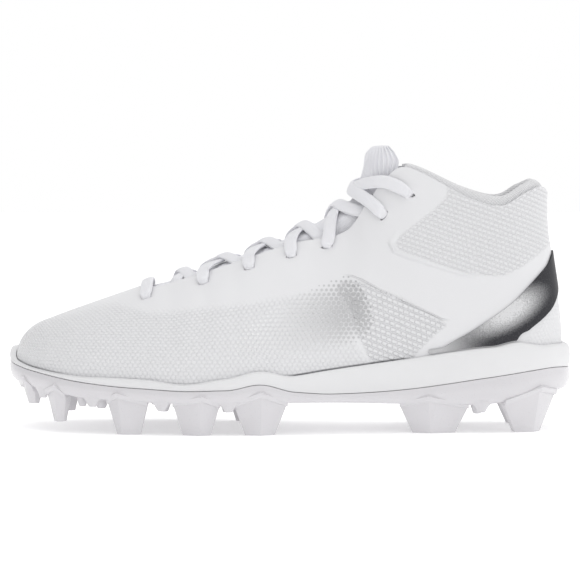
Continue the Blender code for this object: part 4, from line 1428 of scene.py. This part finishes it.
def scallop_piece(turn):
    """A low fan that spreads from a small tip up onto the plate's side."""
    wide, deep, high = SCALLOP
    out, heading = headed(turn)
    low = float(side_height("low", turn))
    centre = side_point(turn, side_edge(turn) - SCALLOP_IN, 0.0)
    angle = np.arange(SCALLOP_CORNERS) * 2 * np.pi / SCALLOP_CORNERS
    rings = []
    for share, rise in SCALLOP_RINGS:
        ring = (centre + heading * np.cos(angle)[:, None] * wide / 2 * share
                + out * np.sin(angle)[:, None] * deep / 2 * (0.5 + 0.5 * share))
        ring[:, 2] = low + high * rise
        rings.append(ring)
    return tube("scallop", np.stack(rings), [], 30.0)


def nub_piece(nub):
    mesh = bpy.data.meshes.new("nub")
    bm = bmesh.new()
    radius = NUB * nub.size / 2
    deep = NUB_DROP + STUD_SINK
    bmesh.ops.create_cone(bm, cap_ends=True, segments=NUB_CORNERS, radius1=radius * NUB_TIP,
                          radius2=radius, depth=deep)
    top = float(side_height("low", turn_of(nub.along))) + STUD_SINK
    place = np.array((x_at(nub.along), BALL_WIDTH * nub.across, top - deep / 2)) + SHIFT
    bmesh.ops.translate(bm, verts=bm.verts, vec=Vector(place))
    bm.to_mesh(mesh)
    bm.free()
    piece = add_piece("nub", mesh)
    bevel_edges(piece, STUD_BEVEL, BEVEL_OVER)
    return piece


def join_lugs(base, lugs):
    """One union of a plate with all that stands on it."""
    group = bpy.data.collections.new("lugs")
    bpy.context.scene.collection.children.link(group)
    for lug in lugs:
        bpy.context.scene.collection.objects.unlink(lug)
        group.objects.link(lug)
    union = base.modifiers.new("join", "BOOLEAN")
    union.operation = "UNION"
    union.solver = "EXACT"
    union.operand_type = "COLLECTION"
    union.collection = group
    settle(base)
    base.data.shade_smooth()
    base.data.set_sharp_from_angle(angle=math.radians(JOINED_SHARP))
    for lug in lugs:
        bpy.data.objects.remove(lug)
    bpy.data.collections.remove(group)


def paint_moulding():
    shader = Shader("outsole_moulding_white", (0.67, 0.66, 0.68), 0.28, coat=0.35, coat_roughness=0.12)
    wave = shader.grain(60.0, 2.0)
    fine = shader.grain(1500.0, 2.0)
    shader.emboss(wave * 0.8 + fine * 0.12, 0.0002, 0.6)
    shader.set("Roughness", 0.24 + fine * 0.10)
    shader.set("Base Color", shader.blend(wave * 0.4, *PLASTIC_TONES))
    return shader.material


def make_outsole():
    plate = ringed("outsole_plate", outsole_rings(SOLE_TURNS), [paint_moulding()])
    lugs = [stud_piece(stud, False) for stud in OUTER_STUDS]
    lugs += [stud_piece(stud, True) for stud in INNER_STUDS]
    lugs += [nub_piece(nub) for nub in NUBS]
    for along in SCALLOPS:
        for turn in (float(turn_of(along)), 2.0 - float(turn_of(along))):
            lugs.append(scallop_piece(turn))
    join_lugs(plate, lugs)
    return plate


outsole = make_outsole()
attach(outsole, "root")
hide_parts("outsole")
print("outsole", len(outsole.data.polygons), "faces")

# %% [markdown]
# The heel band is a thin satin film. A flat grey metal would look like paint, so its colour carries a
# painted reflection: dark where it turns behind the heel, a painted highlight on the flank, paler
# toward its front tip.

# %% Heel band
# The painted highlight in mm: its place, the slant of its long axis, half its length and half its
# height
PAINTED_GLINT = (114.0, 63.5)
PAINTED_GLINT_SLANT = (0.88, 0.47)
PAINTED_GLINT_SIZE = (17.0, 7.0)
PAINTED_GLINT_FALL = 0.36
BAND_FRONT = (76.0, 107.0)
BAND_TURNS = 300
BAND_ROWS = 15
# The dark and the bright tone of the painted reflection
BAND_REFLECTION_TONES = ((0.045, 0.045, 0.05, 1.0), (0.74, 0.74, 0.75, 1.0))


def band_height(turn, edge):
    clear = side_height("rim", turn) + 3 * GAP + (RIM if edge == "high" else 0.0)
    return np.maximum(COLLAR_HEIGHT * BAND_EDGE[edge].at(turn), clear)


def make_band():
    first = turn_of(BANDS[0].along)
    turn = np.linspace(first, 2.0 - first, BAND_TURNS)
    low, high = (height_share(turn, band_height(turn, edge)) for edge in ("low", "high"))
    share = np.linspace(0.0, 1.0, BAND_ROWS)[:, None]
    t = low + (high - low) * share
    outside = upper_point(turn[None, :], t, GAP + BAND)
    inside = upper_point(turn[None, :], t, GAP * 0.4)
    sections = np.swapaxes(np.concatenate([outside, inside[::-1]]), 0, 1)
    return tube("heel_band_film", sections, [paint_band()])


def paint_band():
    shader = Shader("band_satin_silver", (0.5, 0.5, 0.51), 0.34, metallic=1.0)
    shader.set("Specular IOR Level", 0.15)
    shader.set("Specular Tint", (0.45, 0.45, 0.46, 1.0))
    x, z = shader.place()[::2]
    u, v = x - PAINTED_GLINT[0], z - PAINTED_GLINT[1]
    a = (u * PAINTED_GLINT_SLANT[0] + v * PAINTED_GLINT_SLANT[1]) / PAINTED_GLINT_SIZE[0]
    b = (v * PAINTED_GLINT_SLANT[0] - u * PAINTED_GLINT_SLANT[1]) / PAINTED_GLINT_SIZE[1]
    painted_glint = (1.0 - (a * a + b * b) * PAINTED_GLINT_FALL).most(0.0)
    painted_glint = painted_glint * painted_glint
    front = shader.fade(x, *BAND_FRONT)
    spark = shader.grain(1500.0, 2.0)
    # Painted reflection: the highlight, the paler front tip, and flecks that are strongest in the
    # highlight.
    tone = painted_glint * 1.1 + front * 0.65 + (spark - 0.5) * (painted_glint * 1.1 + 0.2)
    shader.set("Base Color", shader.blend(tone, *BAND_REFLECTION_TONES))
    shader.set("Roughness", 0.30 + spark * 0.14)
    shader.set("Metallic", (tone * 0.6 + 0.4).least(1.0))
    shader.emboss(spark, 0.00006, 0.5)
    return shader.material


band = make_band()
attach(band, "root")
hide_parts("heel_band")
print("band", len(band.data.polygons), "faces")

# %% [markdown]
# The lace is a flat woven tube. Each length comes out of an eyelet, goes over the throat's edge,
# crosses, and runs under the other edge to the next eyelet, where the following length begins. Its
# path is written as a few pairs of how far across it is and how high above the skin.

# %% Laces
LaceEnd = namedtuple("LaceEnd", "turn edge share")  # the eyelet's turn, the edge's turn, the share up
RAISED = LACE_THICK / 2 + 0.0006
RESTING = -0.0009
CROSSED = RESTING + LACE_THICK + 0.0001
HIDDEN = -WALL - LACE_THICK / 2 - 0.0002
LACE_ROUND = 22
NIP = (0.26, 0.07)  # how much narrower the lace is in an eyelet, and over what share of its way
FLAT = 0.8  # under 1 the section's sides are fuller than an ellipse's
LACE_FULL = 1.12
THREADS = 7.0
# The lace's tones: a painted shade, slightly violet, in the weave's hollows, and white on the threads'
# tops
LACE_WEAVE_SHADE_TONES = ((0.86, 0.86, 0.91, 1.0), (1.0, 1.0, 1.0, 1.0))
# A lace's two kinds of start, as pairs of how far across and how high above the skin
OUT_OF_EYELET = [(-LACE_REACH, -0.0042), (-LACE_REACH, -0.0016), (-LACE_REACH + 0.03, 0.0010),
                 (-LACE_REACH + 0.11, RAISED), (-0.16, RAISED)]
UNDER_EDGE = [(-LACE_REACH, HIDDEN - 0.0006), (-LACE_REACH + 0.08, HIDDEN), (-0.12, HIDDEN),
              (0.0, HIDDEN), (0.10, -0.0020)]


def over_shoe(a, b, v, lift):
    """Points of a lace: v from 0 to 1 is over the instep, past that it comes down to an eyelet."""
    down = np.clip(-v, 0.0, None) / LACE_REACH
    left = upper_point(a.edge + (a.turn - a.edge) * down, 1.0 - (1.0 - a.share) * down, lift)
    past = np.clip(v - 1.0, 0.0, None) / LACE_REACH
    right = upper_point(2.0 - b.edge - (b.turn - b.edge) * past, 1.0 - (1.0 - b.share) * past, lift)
    inside = np.clip(v, 0.0, 1.0)
    over = crown_point(a.edge + (b.edge - a.edge) * inside, inside, lift)
    return np.where((v < 0.0)[:, None], left, np.where((v > 1.0)[:, None], right, over))


def lace_keys(from_eyelet, to_eyelet, on_top):
    start = OUT_OF_EYELET if from_eyelet else UNDER_EDGE
    end = [(1.0 - v, lift) for v, lift in reversed(OUT_OF_EYELET if to_eyelet else UNDER_EDGE)]
    middle = [(0.08, RAISED)] if from_eyelet else [(0.24, RESTING)]
    high, near = (CROSSED, CROSSED - 0.0006) if on_top else (RESTING, RESTING)
    if from_eyelet and to_eyelet and not on_top:
        high = near = RAISED
    middle += [(0.38, near), (0.5, high), (0.62, near)]
    middle += [(0.92, RAISED)] if to_eyelet else [(0.76, RESTING)]
    return np.array(start + middle + end)


def soften(values, passes):
    for _ in range(passes):
        values[1:-1] = (values[:-2] + 2 * values[1:-1] + values[2:]) / 4
    return values


def lace_length(name, a, b, from_eyelet, to_eyelet, mirrored, on_top):
    keys = refine(lace_keys(from_eyelet, to_eyelet, on_top), 6)
    v, lift = keys[:, 0], keys[:, 1]

    def place(at, up):
        return over_shoe(b, a, 1.0 - at, up) if mirrored else over_shoe(a, b, at, up)

    centres = soften(place(v, lift), 3)
    ahead = place(v + 0.01, lift) - place(v - 0.01, lift)
    normals = unit(soften(unit(place(v, lift + 0.001) - place(v, lift)), 4))
    side = unit(soften(unit(np.cross(ahead, normals)), 10))
    forward = unit(np.gradient(centres, axis=0))
    side = unit(side - forward * np.sum(side * forward, axis=1, keepdims=True))
    up = np.cross(side, forward)
    ends = [LACE_REACH + v] if from_eyelet else []
    ends += [1.0 + LACE_REACH - v] if to_eyelet else []
    squeeze = np.ones(len(v))
    for distance in ends:
        squeeze -= NIP[0] * np.exp(-((distance / NIP[1]) ** 2))
    angle = np.arange(LACE_ROUND) * 2 * np.pi / LACE_ROUND
    wide = np.sign(np.cos(angle)) * np.abs(np.cos(angle)) ** FLAT * LACE_WIDTH / 2
    thick = np.sin(angle) * LACE_THICK / 2 * LACE_FULL
    rings = (centres[:, None] + side[:, None] * (wide[None, :, None] * squeeze[:, None, None])
             + up[:, None] * thick[None, :, None])
    lace = tube(name, rings, [LACE_CLOTH], 80.0)
    run = np.concatenate([[0.0], np.cumsum(np.linalg.norm(np.diff(centres, axis=0), axis=1))])
    weave = np.stack(np.broadcast_arrays(run[:, None], wide[None, :], thick[None, :]), -1)
    note(lace.data, "weave", weave.reshape(-1, 3) * MM)
    return lace


def paint_lace():
    """A woven tube: two sets of slanted threads that cross in a fine herringbone."""
    shader = Shader("lace_weave_white", (0.92, 0.92, 0.94), 0.8, sheen=0.25)
    along, side = shader.axes(shader.attribute("weave", "Vector"))[:2]
    slanted = ((along + side.size() * 0.9) * THREADS).wave() * 0.5 + 0.5
    thread = slanted * ((side * THREADS).wave() * 0.25 + 0.75)
    shader.emboss(thread, 0.00026, 1.0)
    # Painted shade: the weave's hollows are darker in the colour.
    shader.set("Base Color", shader.blend(thread, *LACE_WEAVE_SHADE_TONES))
    return shader.material


LACE_CLOTH = paint_lace()


def lace_ends():
    ends = []
    for eyelet in EYELETS:
        turn, share = eyelet_place(eyelet, False)
        ends.append(LaceEnd(float(turn), float(turn_of(eyelet.edge)), share))
    return ends


def lace_up():
    ends = lace_ends()
    lengths = {"lace_bar": [lace_length("lace_first", ends[0], ends[0], True, True, False, False)]}
    last = len(ends) - 2
    for i, (a, b) in enumerate(zip(ends, ends[1:])):
        step = b.edge - a.edge
        a = a._replace(edge=a.edge + step * FIRST_TUCK) if i == 0 else a
        b = b._replace(edge=b.edge - step * END_TUCK) if i != last else b
        lengths[f"lace_crossing_{i + 1}"] = [
            lace_length(f"lace_{i + 1}_{way}", a, b, i > 0, i == last, way == "back", way == "back")
            for way in ("out", "back")]
    for node, pieces in lengths.items():
        for piece in pieces:
            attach(piece, "root")
        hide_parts(node)
    return lengths


laces = lace_up()
print(sum(len(pieces) for pieces in laces.values()), "lengths of lace")

# %% [markdown]
# The flank carries a generic field of small silver dots that fade to light grey and shrink toward the
# toe. It repeats one disc hundreds of times, so Geometry Nodes place it: each point knows the way out
# of the skin and the size of its dot.

# %% Scatter tree
def scatter_tree():
    tree = bpy.data.node_groups.new("scatter_discs", "GeometryNodeTree")
    face = tree.interface
    face.new_socket("Geometry", in_out="INPUT", socket_type="NodeSocketGeometry")
    for name in ("Radius", "Thickness"):
        face.new_socket(name, in_out="INPUT", socket_type="NodeSocketFloat")
    face.new_socket("Material", in_out="INPUT", socket_type="NodeSocketMaterial")
    face.new_socket("Geometry", in_out="OUTPUT", socket_type="NodeSocketGeometry")
    new, link = tree.nodes.new, tree.links.new
    start, end = new("NodeGroupInput"), new("NodeGroupOutput")
    disc = new("GeometryNodeMeshCylinder")
    disc.inputs["Vertices"].default_value = 12
    link(start.outputs["Radius"], disc.inputs["Radius"])
    link(start.outputs["Thickness"], disc.inputs["Depth"])
    out, size = new("GeometryNodeInputNamedAttribute"), new("GeometryNodeInputNamedAttribute")
    out.data_type, size.data_type = "FLOAT_VECTOR", "FLOAT"
    out.inputs["Name"].default_value, size.inputs["Name"].default_value = "way_out", "dot_size"
    turn = new("FunctionNodeAlignEulerToVector")
    turn.axis = "Z"
    link(out.outputs["Attribute"], turn.inputs["Vector"])
    spread = new("GeometryNodeInstanceOnPoints")
    link(start.outputs["Geometry"], spread.inputs["Points"])
    link(disc.outputs["Mesh"], spread.inputs["Instance"])
    link(turn.outputs["Rotation"], spread.inputs["Rotation"])
    link(size.outputs["Attribute"], spread.inputs["Scale"])
    real, paint = new("GeometryNodeRealizeInstances"), new("GeometryNodeSetMaterial")
    link(spread.outputs["Instances"], real.inputs["Geometry"])
    link(real.outputs["Geometry"], paint.inputs["Geometry"])
    link(start.outputs["Material"], paint.inputs["Material"])
    link(paint.outputs["Geometry"], end.inputs["Geometry"])
    return tree


def scatter(name, tree, places, ways, sizes, radius, thickness, material):
    """Discs of a tree at some places, turned into a plain mesh."""
    mesh = bpy.data.meshes.new(name)
    mesh.from_pydata(places, [], [])
    note(mesh, "way_out", ways)
    note(mesh, "dot_size", sizes)
    piece = bpy.data.objects.new(name, mesh)
    bpy.context.scene.collection.objects.link(piece)
    made = piece.modifiers.new("scatter", "NODES")
    made.node_group = tree
    values = {"Radius": radius, "Thickness": thickness, "Material": material}
    for item in tree.interface.items_tree:
        if item.in_out == "INPUT" and item.name in values:
            made[item.identifier] = values[item.name]
    settle(piece, 40.0)
    return piece


DISCS = scatter_tree()
print("tree with", len(DISCS.nodes), "nodes")

# %% Dot field on both flanks
DOT_PITCH = 2.55
DOT_RADIUS = 0.00118
DOT_THICK = 0.0005
# The grid in mm: its first dot, its rows and columns, and its rows' distance over the pitch
DOT_START = (-52.0, 26.0)
DOT_GRID = (26, 46)
ROW_PITCH = 0.87
LEAST_DOT = 0.30
OVER_RIM = 0.0035
# The field's bright end, its faint end, half its width and how far it goes on behind the bright end
FIELD = ((34.0, 66.0), (-32.0, 43.0), 18.0, 9.0)
DOT_TONES = ((0.86, 0.86, 0.87, 1.0), (0.56, 0.56, 0.57, 1.0))


def dot_sizes(x, z):
    """1 at the field's bright end, falling off along it and to both sides."""
    (ax, az), (bx, bz), half, behind = FIELD
    length = math.hypot(bx - ax, bz - az)
    along = ((x - ax) * (bx - ax) + (z - az) * (bz - az)) / length
    beside = ((x - ax) * (bz - az) - (z - az) * (bx - ax)) / length
    reach = np.where(along > 0, along / length, -along / behind)
    return np.sqrt(np.clip(1.0 - reach**2 - (beside / half) ** 2, 0.0, 1.0))


def dot_places():
    places, ways, sizes = [], [], []
    for row in range(DOT_GRID[0]):
        for column in range(DOT_GRID[1]):
            x = DOT_START[0] + (column + 0.5 * (row % 2)) * DOT_PITCH
            z = DOT_START[1] + row * DOT_PITCH * ROW_PITCH
            size = float(dot_sizes(np.float64(x), np.float64(z)))
            if size < LEAST_DOT:
                continue
            rim = float(side_height("rim", turn_at(x / MM)))
            for side in (-1.0, 1.0):
                start = Vector((x / MM, side * 0.2, z / MM))
                hit, place, normal, _ = upper.ray_cast(start, Vector((0.0, -side, 0.0)))
                if hit and z / MM > rim + OVER_RIM:
                    places.append(tuple(place))
                    ways.append(tuple(normal))
                    sizes.append(size)
    return places, np.array(ways), np.array(sizes)


def paint_dots():
    shader = Shader("dot_silver", (0.6, 0.6, 0.61), 0.36, metallic=0.85)
    x, z = shader.place()[::2]
    tone = shader.step(x + (z - 50.0) * 0.8, -20.0, 60.0)
    shader.set("Base Color", shader.blend(tone, *DOT_TONES))
    shader.set("Roughness", 0.32 + shader.grain(900.0, 1.0) * 0.15)
    return shader.material


dots = scatter("flank_dots", DISCS, *dot_places(), DOT_RADIUS, DOT_THICK, paint_dots())
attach(dots, "root")
print("dots", len(dots.data.polygons), "faces")

# %% [markdown]
# The insole lies deep in the shoe, and its CAD solid already has the right form, so it stays and only
# gets a cloth of its own.

# %% Insole
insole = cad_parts["insole"]
insole_cloth = paint_cloth("insole_cloth_grey", (0.70, 0.70, 0.72), 2.4, 0.0004)
if insole.material_slots:
    insole.material_slots[0].link = "OBJECT"
    insole.material_slots[0].material = insole_cloth
else:
    insole.data.materials.append(insole_cloth)
print("insole slots", len(insole.material_slots))
